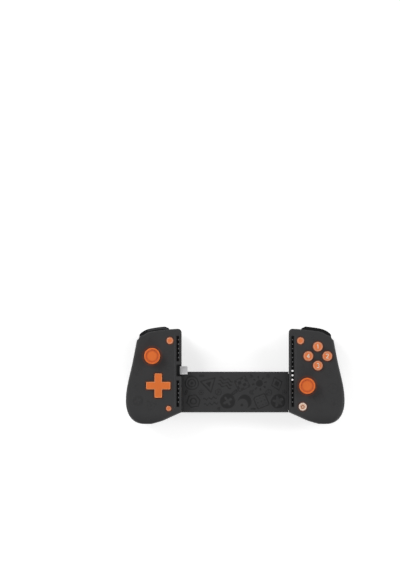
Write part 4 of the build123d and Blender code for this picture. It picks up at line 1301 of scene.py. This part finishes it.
@dataclass
class DirectionPad:
    """Cross-shaped pad with rounded arms, softened edges and a dished middle."""

    x: float = -77.0
    y: float = -10.7
    half_span: float = 12.15
    half_arm: float = 3.75
    corner: float = 1.0
    rise: float = 1.8
    low: float = 32.0
    flange_low: float = 30.6
    flange_radius: float = 12.0
    edge: float = 0.7
    rays: int = 480
    halvings: int = 30
    flat_rows: int = 22
    edge_rows: int = 16
    flat_share: float = 0.9
    dish: tuple[float, float] = (0.5, 4.2)
    arm_dish: tuple[float, float, float] = (0.22, 9.6, 2.2)
    edge_tone: float = 1.25
    seat: Seat = Seat(0.5, 1.0, lip=0.2)
    seat_fade: tuple[float, float] = (0.7, 0.8)

    def outline(self, grow: float = 0.0) -> Array:
        """Outline of the cross.

        The distance to a cross is the smaller of the distances to two rounded bars; the
        outline is found on each ray from the middle by halving.

        Args:
            grow: how far the outline is moved out.

        Returns:
            (x, y) points about the pad's middle.
        """
        angle = np.linspace(0, 2 * np.pi, self.rays, endpoint=False)
        direction = np.stack([np.cos(angle), np.sin(angle)], axis=1)
        near, far = np.zeros(self.rays), np.full(self.rays, self.half_span * 1.5)
        for _ in range(self.halvings):
            middle = (near + far) / 2
            inside = self.distance(direction * middle[:, None]) < grow
            near, far = np.where(inside, middle, near), np.where(inside, far, middle)
        return direction * near[:, None]

    def distance(self, places: Array) -> Array:
        """Signed distance to the cross, in millimetres.

        Args:
            places: (x, y) about the pad's middle.

        Returns:
            Distance, negative inside.
        """
        x, y = places[..., 0], places[..., 1]
        return np.minimum(slab(x, y, self.half_span, self.half_arm, self.corner),
                          slab(y, x, self.half_span, self.half_arm, self.corner))

    def surface(self) -> Patch:
        """Top, side and underside as one closed patch about the middle.

        Rows run from the middle to the edge as shares of the outline, then down the side.
        The top falls by edge * (1 - sqrt(1 - (1 - d / edge)^2)) within edge of the rim. It
        is dished at the middle and on the arms, each by depth * exp(-(distance / width)^2).

        Returns:
            The patch.
        """
        rim = self.outline()
        near_rim = 1 - (1 - np.linspace(0, 1, self.edge_rows)) ** 2 * (1 - self.flat_share)
        share = np.concatenate([np.linspace(0, self.flat_share, self.flat_rows), near_rim])
        share = np.unique(np.round(share, 6))
        flat = share[:, None, None] * rim[None]
        inward = np.clip(-self.distance(flat) / self.edge, 0, 1)
        drop = self.edge * (1 - np.sqrt(np.clip(1 - (1 - inward) ** 2, 0, 1)))
        away = np.linalg.norm(flat, axis=-1)
        depth, width = self.dish
        arm_depth, arm_place, arm_width = self.arm_dish
        dish = depth * np.exp(-((away / width) ** 2))
        dish += arm_depth * np.exp(-(((away - arm_place) / arm_width) ** 2))
        height = LEVEL.face + self.rise - drop - dish * inward
        top = np.concatenate([flat, height[..., None]], axis=-1)
        # painted highlight: the pad's rounded edge is paler
        tone = np.clip(self.edge_tone - inward, 0, 1) * (inward < 1)
        disc = arc_points((0.0, 0.0), self.flange_radius, 0, 360, len(rim) + 1)[:-1]
        rings = [at_level(rim, self.low), at_level(disc, self.low),
                 at_level(disc, self.flange_low), at_level(disc * 0, self.flange_low)]
        points = np.concatenate([top, np.stack(rings)])
        points[..., :2] += (self.x, self.y)
        tone = np.concatenate([tone, np.zeros((len(rings), len(rim)))])
        return Patch(points, tone, close_columns=True)

    def border(self) -> Patch:
        """Painted shadow round the cross-shaped hole, darker towards its outer edge.

        Returns:
            The patch.
        """
        rows = self.seat.rows()
        points = np.stack([at_level(self.outline(grow), level) for grow, level in rows])
        points[..., :2] += (self.x, self.y)
        start, width = self.seat_fade
        tone = np.maximum(0.0, rows[:, :1] - start) / width
        return Patch(points, tone, close_columns=True)

    def build(self) -> None:
        """Make the pad and the painted shadow round its hole."""
        pad = Piece("dpad_cross", "dpad", "orange_plastic", slot_of("dpad"), ["dpad"])
        pad.add(self.surface()).make()
        # painted shadow round the pad's hole
        Piece("dpad_gap_shadow", "left_grip", "seat", "shell").add(self.border()).make()


def star(x: Array, y: Array, points: int, radius: float, waist: float) -> Array:
    """Distance to a star whose radius swings between its points and its waist.

    The outline at angle a is radius * (1 - waist * t), where t rises evenly from 0 at a
    point to 1 half way to the next.

    Args:
        x: places across.
        y: places along.
        points: number of points.
        radius: radius at the points.
        waist: share of the radius lost between points.

    Returns:
        Distance along the radius, negative inside.
    """
    turn = np.arctan2(x, y) * points / (2 * np.pi)
    between = np.abs(turn - np.round(turn)) * 2
    return np.hypot(x, y) - radius * (1 - waist * between)


def polygon(x: Array, y: Array, sides: int, radius: float) -> Array:
    """Distance to a regular polygon.

    In each side's sector it is the distance from the middle times cos a, less the inner
    radius, where a is the angle from the side's middle.

    Args:
        x: places across.
        y: places along.
        sides: number of sides.
        radius: distance from the middle to a side.

    Returns:
        Distance, negative inside.
    """
    step = 2 * np.pi / sides
    turn = np.arctan2(x, y)
    local = turn - step * np.round(turn / step)
    return np.hypot(x, y) * np.cos(local) - radius


def either(*distances: Array) -> Array:
    """Union of shapes."""
    return np.minimum.reduce(distances)


def without(distance: Array, *cuts: Array) -> Array:
    """Shape less other shapes."""
    return np.maximum.reduce([distance] + [-cut for cut in cuts])


class Motif(Enum):
    """Plain geometric motif, drawn in a circle of radius 1."""

    TARGET = "rings in a ring"
    TRIANGLES = "triangle in a triangle"
    PLUS = "cross in a disc"
    STARRED = "star cut from a disc"
    TILE = "rounded square with dots"
    ZIGZAG = "two zigzags"
    WAVES = "three waves"
    NUT = "hexagon with a hole"
    DOTS = "ring of dots"
    CHEVRONS = "chevrons"
    MOON = "crescent and dot"
    PILL = "slotted bar"
    CHECKS = "checked square"
    SUN = "disc with rays"
    KITE = "diamond in a frame"
    SPOKES = "wheel with spokes"

    def distance(self, x: Array, y: Array) -> Array:
        """Signed distance to the motif, whose numbers are shares of its radius.

        Args:
            x: places across, in units of its radius.
            y: places along.

        Returns:
            Distance, negative inside.
        """
        rim = band(circle(x, y, 0.88), 0.16)
        if self is Motif.TARGET:
            return either(rim, band(circle(x, y, 0.5), 0.16), circle(x, y, 0.2))
        if self is Motif.TRIANGLES:
            return either(band(polygon(x, y, 3, 0.52), 0.15), polygon(x, y, 3, 0.2))
        if self is Motif.PLUS:
            return without(circle(x, y, 0.95), slab(x, y, 0.14, 0.6), slab(x, y, 0.6, 0.14))
        if self is Motif.STARRED:
            return without(circle(x, y, 0.95), star(x, y, 5, 0.78, 0.6))
        if self is Motif.TILE:
            dots = circle((x + 1.2) % 0.5 - 0.2, (y + 1.2) % 0.5 - 0.2, 0.1)
            dots = np.maximum(dots, slab(x, y, 0.52, 0.52))
            return either(band(slab(x, y, 0.78, 0.78, 0.22), 0.15), dots)
        if self is Motif.ZIGZAG:
            fold = np.abs((x + 2.0) % 0.6 - 0.3)
            lines = either(band(y - 0.28 - fold, 0.17), band(y + 0.42 - fold, 0.17))
            return np.maximum(lines, slab(x, y, 0.92, 0.8))
        if self is Motif.WAVES:
            wave = 0.13 * np.sin(x * 6.5)
            lines = either(*[band(y - level - wave, 0.15) for level in (-0.45, 0.0, 0.45)])
            return np.maximum(lines, slab(x, y, 0.9, 0.8))
        if self is Motif.NUT:
            return either(band(polygon(x, y, 6, 0.74), 0.16), band(circle(x, y, 0.36), 0.16))
        if self is Motif.DOTS:
            turn = np.arctan2(x, y) * 4 / np.pi
            local = (turn - np.round(turn)) * np.pi / 4
            away = np.hypot(x, y)
            ring = circle(away * np.sin(local), away * np.cos(local) - 0.72, 0.17)
            return either(ring, circle(x, y, 0.28))
        if self is Motif.CHEVRONS:
            fold = np.abs(x) * 0.8
            lines = either(*[band(y - level + fold, 0.16) for level in (-0.1, 0.3, 0.7)])
            return np.maximum(lines, slab(x, y, 0.8, 0.85))
        if self is Motif.MOON:
            crescent = without(circle(x, y, 0.9), circle(x - 0.38, y - 0.2, 0.72))
            return either(crescent, circle(x - 0.5, y - 0.25, 0.18))
        if self is Motif.PILL:
            slots = [slab(x - place, y, 0.09, 0.18) for place in (-0.45, -0.15, 0.15, 0.45)]
            return without(slab(x, y, 0.95, 0.4, 0.38), either(*slots))
        if self is Motif.CHECKS:
            odd = (np.floor(x / 0.5 + 10) + np.floor(y / 0.5 + 10)) % 2
            cell = slab((x + 10.0) % 0.5 - 0.25, (y + 10.0) % 0.5 - 0.25, 0.22, 0.22, 0.05)
            cells = np.maximum(np.where(odd > 0, cell, 0.2), slab(x, y, 0.74, 0.74))
            return either(cells, band(slab(x, y, 0.82, 0.82), 0.1))
        if self is Motif.SUN:
            rays = np.maximum(np.abs(np.sin(4 * np.arctan2(x, y))) - 0.45, -0.3) * 0.5
            rays = np.maximum(rays, np.abs(np.hypot(x, y) - 0.78) - 0.16)
            return either(circle(x, y, 0.45), rays)
        if self is Motif.KITE:
            tilt = np.abs(x) * 1.3 + np.abs(y)
            return either(band(tilt - 0.86, 0.15), tilt - 0.4)
        spokes = np.abs(np.sin(1.5 * np.arctan2(x, y))) * np.hypot(x, y) - 0.07
        return either(rim, np.maximum(spokes, circle(x, y, 0.85)), circle(x, y, 0.2))


@dataclass(frozen=True)
class Stamp:
    """One motif's place, radius and turn on a surface."""

    motif: Motif
    x: float
    y: float
    radius: float
    turn: float = 0.0
    margin: float = 1.08
    slope: float = 0.3
    sink: float = 0.04
    least: float = 0.02

    def patch(self, level: float, height: float, cells: int) -> Patch:
        """Raised motif as a height field.

        Height rises smoothly from -sink outside to height inside over the slope's width at
        the outline, and faces wholly below the surface are left out.

        Args:
            level: level of the surface that carries it.
            height: how far it stands out.
            cells: cells along each side.

        Returns:
            The patch.
        """
        reach = self.radius * self.margin
        line = np.linspace(-reach, reach, cells + 1)
        across, along = np.meshgrid(line, line, indexing="ij")
        turn = math.radians(self.turn)
        local_x = (across * math.cos(turn) + along * math.sin(turn)) / self.radius
        local_y = (along * math.cos(turn) - across * math.sin(turn)) / self.radius
        depth = -self.motif.distance(local_x, local_y) * self.radius
        rise = np.clip(depth / self.slope + 0.5, 0, 1)
        rise = rise * rise * (3 - 2 * rise)
        z = level - self.sink + (height + self.sink) * rise
        raised = rise > self.least
        keep = raised[:-1, :-1] | raised[1:, :-1] | raised[:-1, 1:] | raised[1:, 1:]
        points = np.stack([self.x + across, self.y + along, z], axis=-1)
        return Patch(points, 1 - rise, keep=keep)


BRIDGE_STAMPS = (
    Stamp(Motif.TARGET, -43.2, -8.2, 7.4), Stamp(Motif.TRIANGLES, -26.4, -9.0, 8.2, 14),
    Stamp(Motif.WAVES, -9.8, -8.0, 7.8, -16), Stamp(Motif.CHECKS, 7.0, -8.8, 7.4, 26),
    Stamp(Motif.SUN, 24.2, -8.4, 7.8, 10), Stamp(Motif.KITE, 41.4, -8.8, 8.2, 20),
    Stamp(Motif.NUT, -41.6, -26.4, 7.8, 12), Stamp(Motif.ZIGZAG, -24.4, -26.8, 7.8, 8),
    Stamp(Motif.PLUS, -7.6, -26.2, 8.0, 32), Stamp(Motif.MOON, 9.4, -26.8, 7.8, -155),
    Stamp(Motif.TILE, 26.2, -26.4, 7.8, 22), Stamp(Motif.STARRED, 42.8, -26.6, 7.6, 12),
    Stamp(Motif.DOTS, -34.0, -17.6, 3.2), Stamp(Motif.SPOKES, -16.8, -17.2, 3.4, 20),
    Stamp(Motif.PILL, -0.6, -17.4, 3.8, 40), Stamp(Motif.CHEVRONS, 16.4, -17.4, 3.2, 90),
    Stamp(Motif.SPOKES, 33.6, -17.6, 3.4, 5), Stamp(Motif.PILL, -49.0, -17.6, 3.0, 74),
    Stamp(Motif.DOTS, 49.0, -17.4, 2.8), Stamp(Motif.PILL, -33.4, -0.9, 2.6, 0),
    Stamp(Motif.CHEVRONS, 16.0, -1.2, 2.2, -90), Stamp(Motif.DOTS, 32.8, -1.2, 2.2),
    Stamp(Motif.CHEVRONS, -16.2, -34.0, 2.2, 90), Stamp(Motif.PILL, 18.0, -34.2, 2.6, 0),
)
GRIP_STAMPS = {
    Hand.LEFT: (
        Stamp(Motif.NUT, -66.4, 21.4, 3.4, 10), Stamp(Motif.WAVES, -66.8, 8.2, 4.2, 15),
        Stamp(Motif.TARGET, -97.2, 3.4, 4.6), Stamp(Motif.KITE, -99.4, -11.0, 4.8, 20),
        Stamp(Motif.PLUS, -97.4, -25.6, 5.6, 15), Stamp(Motif.TRIANGLES, -84.4, -30.4, 5.6, -20),
        Stamp(Motif.CHEVRONS, -86.4, 35.4, 3.4), Stamp(Motif.DOTS, -86.0, -42.2, 3.6),
    ),
    Hand.RIGHT: (
        Stamp(Motif.KITE, 67.0, 8.0, 4.4, 14), Stamp(Motif.TARGET, 94.0, 1.6, 5.2),
        Stamp(Motif.SPOKES, 97.8, -13.6, 5.6, 10), Stamp(Motif.TILE, 84.6, -23.8, 5.6, 24),
        Stamp(Motif.SUN, 99.0, -28.8, 4.8), Stamp(Motif.ZIGZAG, 83.6, -37.6, 5.0, -14),
        Stamp(Motif.DOTS, 76.4, 37.4, 3.4),
    ),
}


@dataclass
class Relief:
    """Tone-on-tone relief on the bridge, fainter on the grips, and fine lines beside the slots."""

    bridge_height: float = 0.22
    bridge_cells: int = 72
    grip_height: float = 0.10
    grip_cells: int = 44
    line_x: float = 60.7
    line_low: float = -33.4
    line_high: float = 39.6
    line_width: float = 0.5
    line_height: float = 0.07

    def build(self) -> None:
        """Stamp the motifs and draw the lines."""
        bridge = Piece("bridge_relief", "left_grip", "relief", "shell")
        bridge.add(*[
            stamp.patch(BRIDGE.front, self.bridge_height, self.bridge_cells)
            for stamp in BRIDGE_STAMPS
        ])
        bridge.make(turn=False)
        profile = stroke_profile(self.line_width, self.line_height)
        for hand in Hand:
            grip = Piece(f"{hand.side}_grip_relief", hand.grip, "faint", "shell")
            grip.add(*[
                stamp.patch(LEVEL.face, self.grip_height, self.grip_cells)
                for stamp in GRIP_STAMPS[hand]
            ])
            grip.make(turn=False)
            x = hand.sign * self.line_x
            path = at_level(smooth_run([(x, self.line_low), (x, self.line_high)]), LEVEL.face)
            line = Piece(f"{hand.side}_slot_line", hand.grip, "edge_line", "shell")
            line.add(run_along(path, profile, UP)).make()


@dataclass(frozen=True)
class RibSize:
    """Places across and half thickness of one side's ribs, and the level of their tops."""

    inner: float
    outer: float
    half: float
    top: float


@dataclass
class SlotRibs:
    """Silicone ribs seen through the slots, light grey as painted highlight on black silicone, the
    slots' black edges and the plug's notch.
    """

    right: RibSize = RibSize(56.55, 57.95, 0.5, 34.35)
    left: RibSize = RibSize(55.95, 57.05, 0.75, 34.5)
    rib_low: float = 30.8
    rib_round: float = 0.42
    first_y: float = -0.4
    pitch: float = 4.45
    rows: range = range(-6, 9)
    windows: tuple[int, ...] = (-1, 0, 1)
    slot_inner: float = 55.9
    slot_outer: float = 58.9
    low: float = -32.1
    high: float = 39.1
    left_break: tuple[float, float] = (-5.4, 13.5)
    break_room: float = 1.0
    notch_y: float = 4.5
    notch_half: float = 5.8
    notch_inner: float = 58.7
    notch_level: float = 33.2
    notch_depth: float = 2.2
    lip: float = 53.75
    lining: float = 0.3
    lining_level: float = 33.9
    lining_depth: float = 0.85
    lining_overlap: float = 0.02
    proud: float = 0.02
    crown: float = 0.07
    crown_share: float = 0.4
    wall_half: float = 0.22
    wall_crown: float = 0.06
    wall_flat: float = 0.1
    lining_steps: int = 80
    wall_steps: int = 60

    def rib(self, hand: Hand, row: int) -> Optional[Patch]:
        """Rounded top of one rib.

        Args:
            hand: the side.
            row: the rib's number.

        Returns:
            The patch, or None where the side has no rib.
        """
        y = self.first_y + row * self.pitch
        low, high = self.left_break
        in_break = low - self.break_room < y < high + self.break_room
        if (row in self.windows) if hand is Hand.RIGHT else in_break:
            return None
        size = self.right if hand is Hand.RIGHT else self.left
        x0, x1 = sorted((hand.sign * size.inner, hand.sign * size.outer))
        return round_box((x0, y - size.half, self.rib_low), (x1, y + size.half, size.top),
                         self.rib_round)

    def edge(self, x0: float, x1: float, y0: float, y1: float) -> Patch:
        """Black edge round a slot.

        Args:
            x0: lowest x.
            x1: highest x.
            y0: lowest y.
            y1: highest y.

        Returns:
            The patch.
        """
        inset = self.lining / 2
        left, right, low, high = x0 + inset, x1 - inset, y0 + inset, y1 - inset
        corners = [(left, low), (right, low), (right, high), (left, high), (left, low)]
        path = at_level(smooth_run(corners, self.lining_steps)[:-1], self.lining_level)
        half, top = inset + self.lining_overlap, LEVEL.face + self.proud - self.lining_level
        flat = half * self.crown_share
        profile = two_sided([(half, -self.lining_depth), (half, top - self.crown), (flat, top)])
        return run_along(path, profile, UP, closed=True)

    def notch(self) -> Patch:
        """Black wall on the three sides of the plug's notch.

        Returns:
            The patch.
        """
        low, high = self.notch_y - self.notch_half, self.notch_y + self.notch_half
        inner = -self.notch_inner
        corners = [(-self.lip, low), (inner, low), (inner, high), (-self.lip, high)]
        path = at_level(smooth_run(corners, self.wall_steps), self.notch_level)
        half, top = self.wall_half, LEVEL.face + self.proud - self.notch_level
        shoulder = top - self.wall_crown
        profile = two_sided([(half, -self.notch_depth), (half, shoulder), (self.wall_flat, top)])
        return run_along(path, profile, UP)

    def build(self) -> None:
        """Make ribs and edges for both sides."""
        spans = {
            Hand.LEFT: [(-self.slot_outer, -self.slot_inner, self.low, self.left_break[0]),
                        (-self.slot_outer, -self.slot_inner, self.left_break[1], self.high)],
            Hand.RIGHT: [(self.slot_inner, self.slot_outer, self.low, self.high)],
        }
        for hand in Hand:
            # light grey ribs: painted highlight on black silicone
            ribs = Piece(f"{hand.side}_slot_ribs", hand.grip, "rib", "silicone")
            patches = [self.rib(hand, row) for row in self.rows]
            ribs.add(*[patch for patch in patches if patch is not None]).make()
            edges = Piece(f"{hand.side}_slot_edges", hand.grip, "silicone", "silicone")
            edges.add(*[self.edge(*span) for span in spans[hand]])
            if hand is Hand.LEFT:
                edges.add(self.notch())
            edges.make()


@dataclass
class PlugTongue:
    """Tongue and contacts inside the plug's metal shell."""

    y: float = 4.5
    root: float = -54.9
    tip: float = -49.3
    half_width: float = 3.35
    half_height: float = 0.36
    edge_round: float = 0.15
    contacts: int = 12
    pitch: float = 0.5
    contact_half: float = 0.13
    contact_rise: float = 0.04
    contact_round: float = 0.03
    contact_short: float = 0.5

    def bar(self, y: float, level: float, half: float, rise: float, tip: float,
            edge: float, steps: int) -> Patch:
        """Bar along the plug.

        Args:
            y: place of its middle across the plug.
            level: level of its middle.
            half: half its width.
            rise: half its thickness.
            tip: place of its end.
            edge: radius of its edges.
            steps: steps round a quarter of an edge.

        Returns:
            The closed patch.
        """
        low, high = (self.root, y - half, level - rise), (tip, y + half, level + rise)
        return round_box(low, high, edge, steps)

    def build(self) -> None:
        """Make the tongue and its contacts."""
        tongue = Piece("plug_tongue", "plug", "black_plastic", "black_plastic")
        tongue.add(self.bar(self.y, LEVEL.plug, self.half_width, self.half_height, self.tip,
                            self.edge_round, 6)).make()
        places = self.y + (np.arange(self.contacts) - (self.contacts - 1) / 2) * self.pitch
        strips = Piece("plug_contacts", "plug", "contact", "plug_steel")
        for level in (LEVEL.plug - self.half_height, LEVEL.plug + self.half_height):
            strips.add(*[
                self.bar(y, level, self.contact_half, self.contact_rise,
                         self.tip - self.contact_short, self.contact_round, 3) for y in places
            ])
        strips.make()


@dataclass
class BridgeInside:
    """Coil springs and the ribbon inside the bridge."""

    springs_y: tuple[float, ...] = (-8.3, -26.3)
    level: float = 16.2
    start: float = -47.0
    end: float = 10.3
    coil: float = 1.75
    wire: float = 0.3
    turns: int = 64
    turn_steps: int = 14
    wire_steps: int = 8
    ribbon_half: float = 5.0
    ribbon_thick: float = 0.12
    ribbon_level: float = 18.55
    ribbon_end: float = 67.2
    ribbon_steps: int = 240
    ribbon_fold: float = 0.12
    ribbon_radians: float = 0.9
    ribbon_clamped: float = 5.0

    def spring(self, y: float) -> Patch:
        """Coil: (x, y + r cos a, level + r sin a), with x rising evenly with a.

        Args:
            y: place of the coil's axis.

        Returns:
            The patch.
        """
        angle = np.linspace(0, 2 * np.pi * self.turns, self.turns * self.turn_steps)
        x = np.linspace(self.start, self.end, len(angle))
        out = np.stack([np.zeros_like(x), np.cos(angle), np.sin(angle)], axis=1)
        axis = np.stack([x, np.full_like(x, y), np.full_like(x, self.level)], axis=1)
        turn = np.linspace(0, 2 * np.pi, self.wire_steps, endpoint=False)
        profile = np.stack([np.cos(turn), np.sin(turn)], axis=1) * self.wire
        return run_along(out * self.coil + axis, profile, out)

    def ribbon(self) -> Patch:
        """Flat strip in shallow folds: its level is level + fold * sin(radians * x).

        Returns:
            The patch.
        """
        x = np.linspace(-self.ribbon_end, self.ribbon_end, self.ribbon_steps)
        z = self.ribbon_level + self.ribbon_fold * np.sin(x * self.ribbon_radians)
        path = np.stack([x, np.full_like(x, BRIDGE.middle), z], axis=1)
        side, up = self.ribbon_half, self.ribbon_thick / 2
        profile = [(side, -up), (side, up), (0.0, up), (-side, up), (-side, -up), (0.0, -up)]
        return run_along(path, np.array(profile), UP)

    def build(self) -> None:
        """Make the springs and the ribbon."""
        coils = Piece("tension_coils", "left_grip", "steel", "steel", ["tension_springs"],
                      (self.start, self.end))
        coils.add(*[self.spring(y) for y in self.springs_y]).make()
        reach = self.ribbon_end - self.ribbon_clamped
        ribbon = Piece("folded_ribbon", "left_grip", "ribbon", "ribbon", ["flex_ribbon"],
                       (-reach, reach))
        ribbon.add(self.ribbon()).make()


class Skin:
    """Outside of CAD nodes, on which lines are laid from behind."""

    def __init__(self, *nodes: str) -> None:
        """Gather the nodes' faces.

        Args:
            nodes: names of the nodes.
        """
        corners, faces = [], []
        for node in nodes:
            mesh = frame["nodes"][node].data
            start = len(corners)
            corners.extend(vertex.co[:] for vertex in mesh.vertices)
            faces.extend([start + corner for corner in face.vertices] for face in mesh.polygons)
        self.tree = BVHTree.FromPolygons(corners, faces)

    def met(self, starts: Array, way: tuple[float, float, float]) -> tuple[Array, Array]:
        """Points of the skin that parallel rays meet first.

        Args:
            starts: the rays' starts in millimetres.
            way: their direction.

        Returns:
            Points in millimetres and their outward normals.
        """
        points, normals = [], []
        for start in starts:
            hit, normal, _, _ = self.tree.ray_cast(Vector(start) * MM, Vector(way))
            if hit is not None:
                points.append(hit[:])
                normals.append(normal[:] if normal.dot(Vector(way)) < 0 else (-normal)[:])
        return np.array(points) / MM, np.array(normals)


@dataclass
class BumperBand:
    """Painted reflection: a lighter band along the top of the left bumper, between its black edges.
    """

    inner_x: float = 61.8
    outer_x: float = 88.2
    top: float = 32.65
    inset: float = 1.5
    width: float = 1.5
    height: float = 0.1
    probe_y: float = 100.0
    probe_depth: float = 1.5
    steps: int = 60
    rounds: int = 12

    def build(self) -> None:
        """Lay the painted reflection a little inside the bumper's outer edge."""
        x = np.linspace(-self.outer_x, -self.inner_x, self.steps)
        level = self.top - self.probe_depth
        starts = np.stack([x, np.full_like(x, self.probe_y), np.full_like(x, level)], axis=1)
        points, normals = Skin("left_bumper").met(starts, (0.0, -1.0, 0.0))
        path = points - normals * self.inset
        path[:, 2] = self.top
        # painted reflection of the lamp on the bumper's top
        band = Piece("left_bumper_painted_reflection", "left_bumper", "edge_line", "black_plastic")
        profile = stroke_profile(self.width, self.height)
        band.add(run_along(smoothed(path, self.rounds), profile, UP)).make()


@dataclass
class BackDetails:
    """Raised line that bounds the lined part of a palm, marks on the sleeve and screw heads."""

    line_height: float = 0.22
    line_width: float = 0.7
    line_sink: float = 0.15
    line_turns: tuple[float, float] = (-88.0, -36.0)
    line_steps: int = 90
    line_rounds: int = 6
    probe_level: float = -10.0
    mark_count: int = 10
    mark_pitch: float = 2.3
    mark_length: float = 4.2
    mark_slant: float = 0.7
    mark_width: float = 1.1
    mark_height: float = 0.16
    mark_y: float = -13.4
    screws: tuple[tuple[float, float], ...] = ((97.0, 2.6), (92.0, -35.9))
    screw_level: float = 11.6
    head_radius: float = 1.85
    head_flat: float = 1.2
    head_dome: tuple[float, float] = (0.25, 0.2)
    head_round: tuple[float, float] = (0.6, 0.25)
    head_thick: float = 0.6
    cross_half: tuple[float, float] = (1.0, 0.24)
    cross_proud: float = 0.27
    cross_thick: float = 0.2
    cross_round: float = 0.08
    head_steps: int = 40

    def palm_line(self, hand: Hand) -> Patch:
        """Raised line on the back, along the arc of the lined part.

        Args:
            hand: the side.

        Returns:
            The patch.
        """
        centre, steps = (PALM_ARC.x, PALM_ARC.y), self.line_steps
        line = arc_points(centre, PALM_ARC.radius, *self.line_turns, steps)
        starts = at_level(line * (hand.sign, 1), self.probe_level)
        points, normals = Skin(f"{hand.side}_rear_shell").met(starts, UP)
        normals = smoothed(normals, self.line_rounds)
        normals /= np.linalg.norm(normals, axis=1, keepdims=True)
        profile = stroke_profile(self.line_width, self.line_height, self.line_sink)
        return run_along(smoothed(points, self.line_rounds), profile, normals)

    def marks(self) -> list[Patch]:
        """Row of slanting raised bars on the back of the sleeve.

        Returns:
            One patch for each bar.
        """
        bars = []
        low, high = self.mark_y - self.mark_length / 2, self.mark_y + self.mark_length / 2
        for k in range(self.mark_count):
            x = (k - (self.mark_count - 1) / 2) * self.mark_pitch
            bar = smooth_run([(x - self.mark_slant, low), (x + self.mark_slant, high)], 8)
            profile = stroke_profile(self.mark_width, self.mark_height)
            bars.append(run_along(at_level(bar, LEVEL.back), profile, DOWN))
        return bars

    def screw_head(self, x: float, y: float) -> Patch:
        """Domed screw head.

        Args:
            x: place across.
            y: place along.

        Returns:
            The closed patch.
        """
        z, radius = self.screw_level, self.head_radius
        middle_dome, edge_dome = self.head_dome
        dome_round, edge_round = self.head_round
        profile = round_corners([
            (0.0, z - middle_dome, 0.0), (self.head_flat, z - edge_dome, dome_round),
            (radius, z, edge_round), (radius, z + self.head_thick, 0.0),
            (0.0, z + self.head_thick, 0.0),
        ])
        return lathe(profile, (x, y), self.head_steps)

    def screw_cross(self, x: float, y: float) -> list[Patch]:
        """Painted shade of a screw's cross recess: a black cross set in the head in place of the
        recess.

        Args:
            x: place across.
            y: place along.

        Returns:
            The patches of its two bars.
        """
        low = self.screw_level - self.cross_proud
        high = low + self.cross_thick
        return [
            round_box((x - dx, y - dy, low), (x + dx, y + dy, high), self.cross_round, 3)
            for dx, dy in (self.cross_half, self.cross_half[::-1])
        ]

    def build(self) -> None:
        """Make the details of both grips and the sleeve."""
        for hand in Hand:
            line = Piece(f"{hand.side}_palm_line", hand.grip, "palm_line", "shell")
            line.add(self.palm_line(hand)).make()
            heads = Piece(f"{hand.side}_screw_heads", hand.grip, "steel", "steel")
            # black crosses: painted shade of the screws' cross recesses
            cross_shades = Piece(f"{hand.side}_screw_cross_shades", hand.grip, "black_plastic", "steel")
            for x, y in self.screws:
                heads.add(self.screw_head(hand.sign * x, y))
                cross_shades.add(*self.screw_cross(hand.sign * x, y))
            heads.make()
            cross_shades.make()
        Piece("sleeve_marks", "left_grip", "relief", "shell").add(*self.marks()).make()


def main() -> None:
    """Build the pieces in order."""
    logging.basicConfig(level=logging.INFO, format="%(name)s %(message)s")
    builders = (
        Studio(), CastParts(), Buttons(), ThumbStick(Hand.LEFT, 83.1, 18.9),
        ThumbStick(Hand.RIGHT, 72.0, -10.9), DirectionPad(), Relief(), SlotRibs(), PlugTongue(),
        BridgeInside(), BumperBand(), BackDetails(),
    )
    for builder in builders:
        LOG.info("building %s", type(builder).__name__)
        builder.build()


if __name__ == "__main__":
    main()
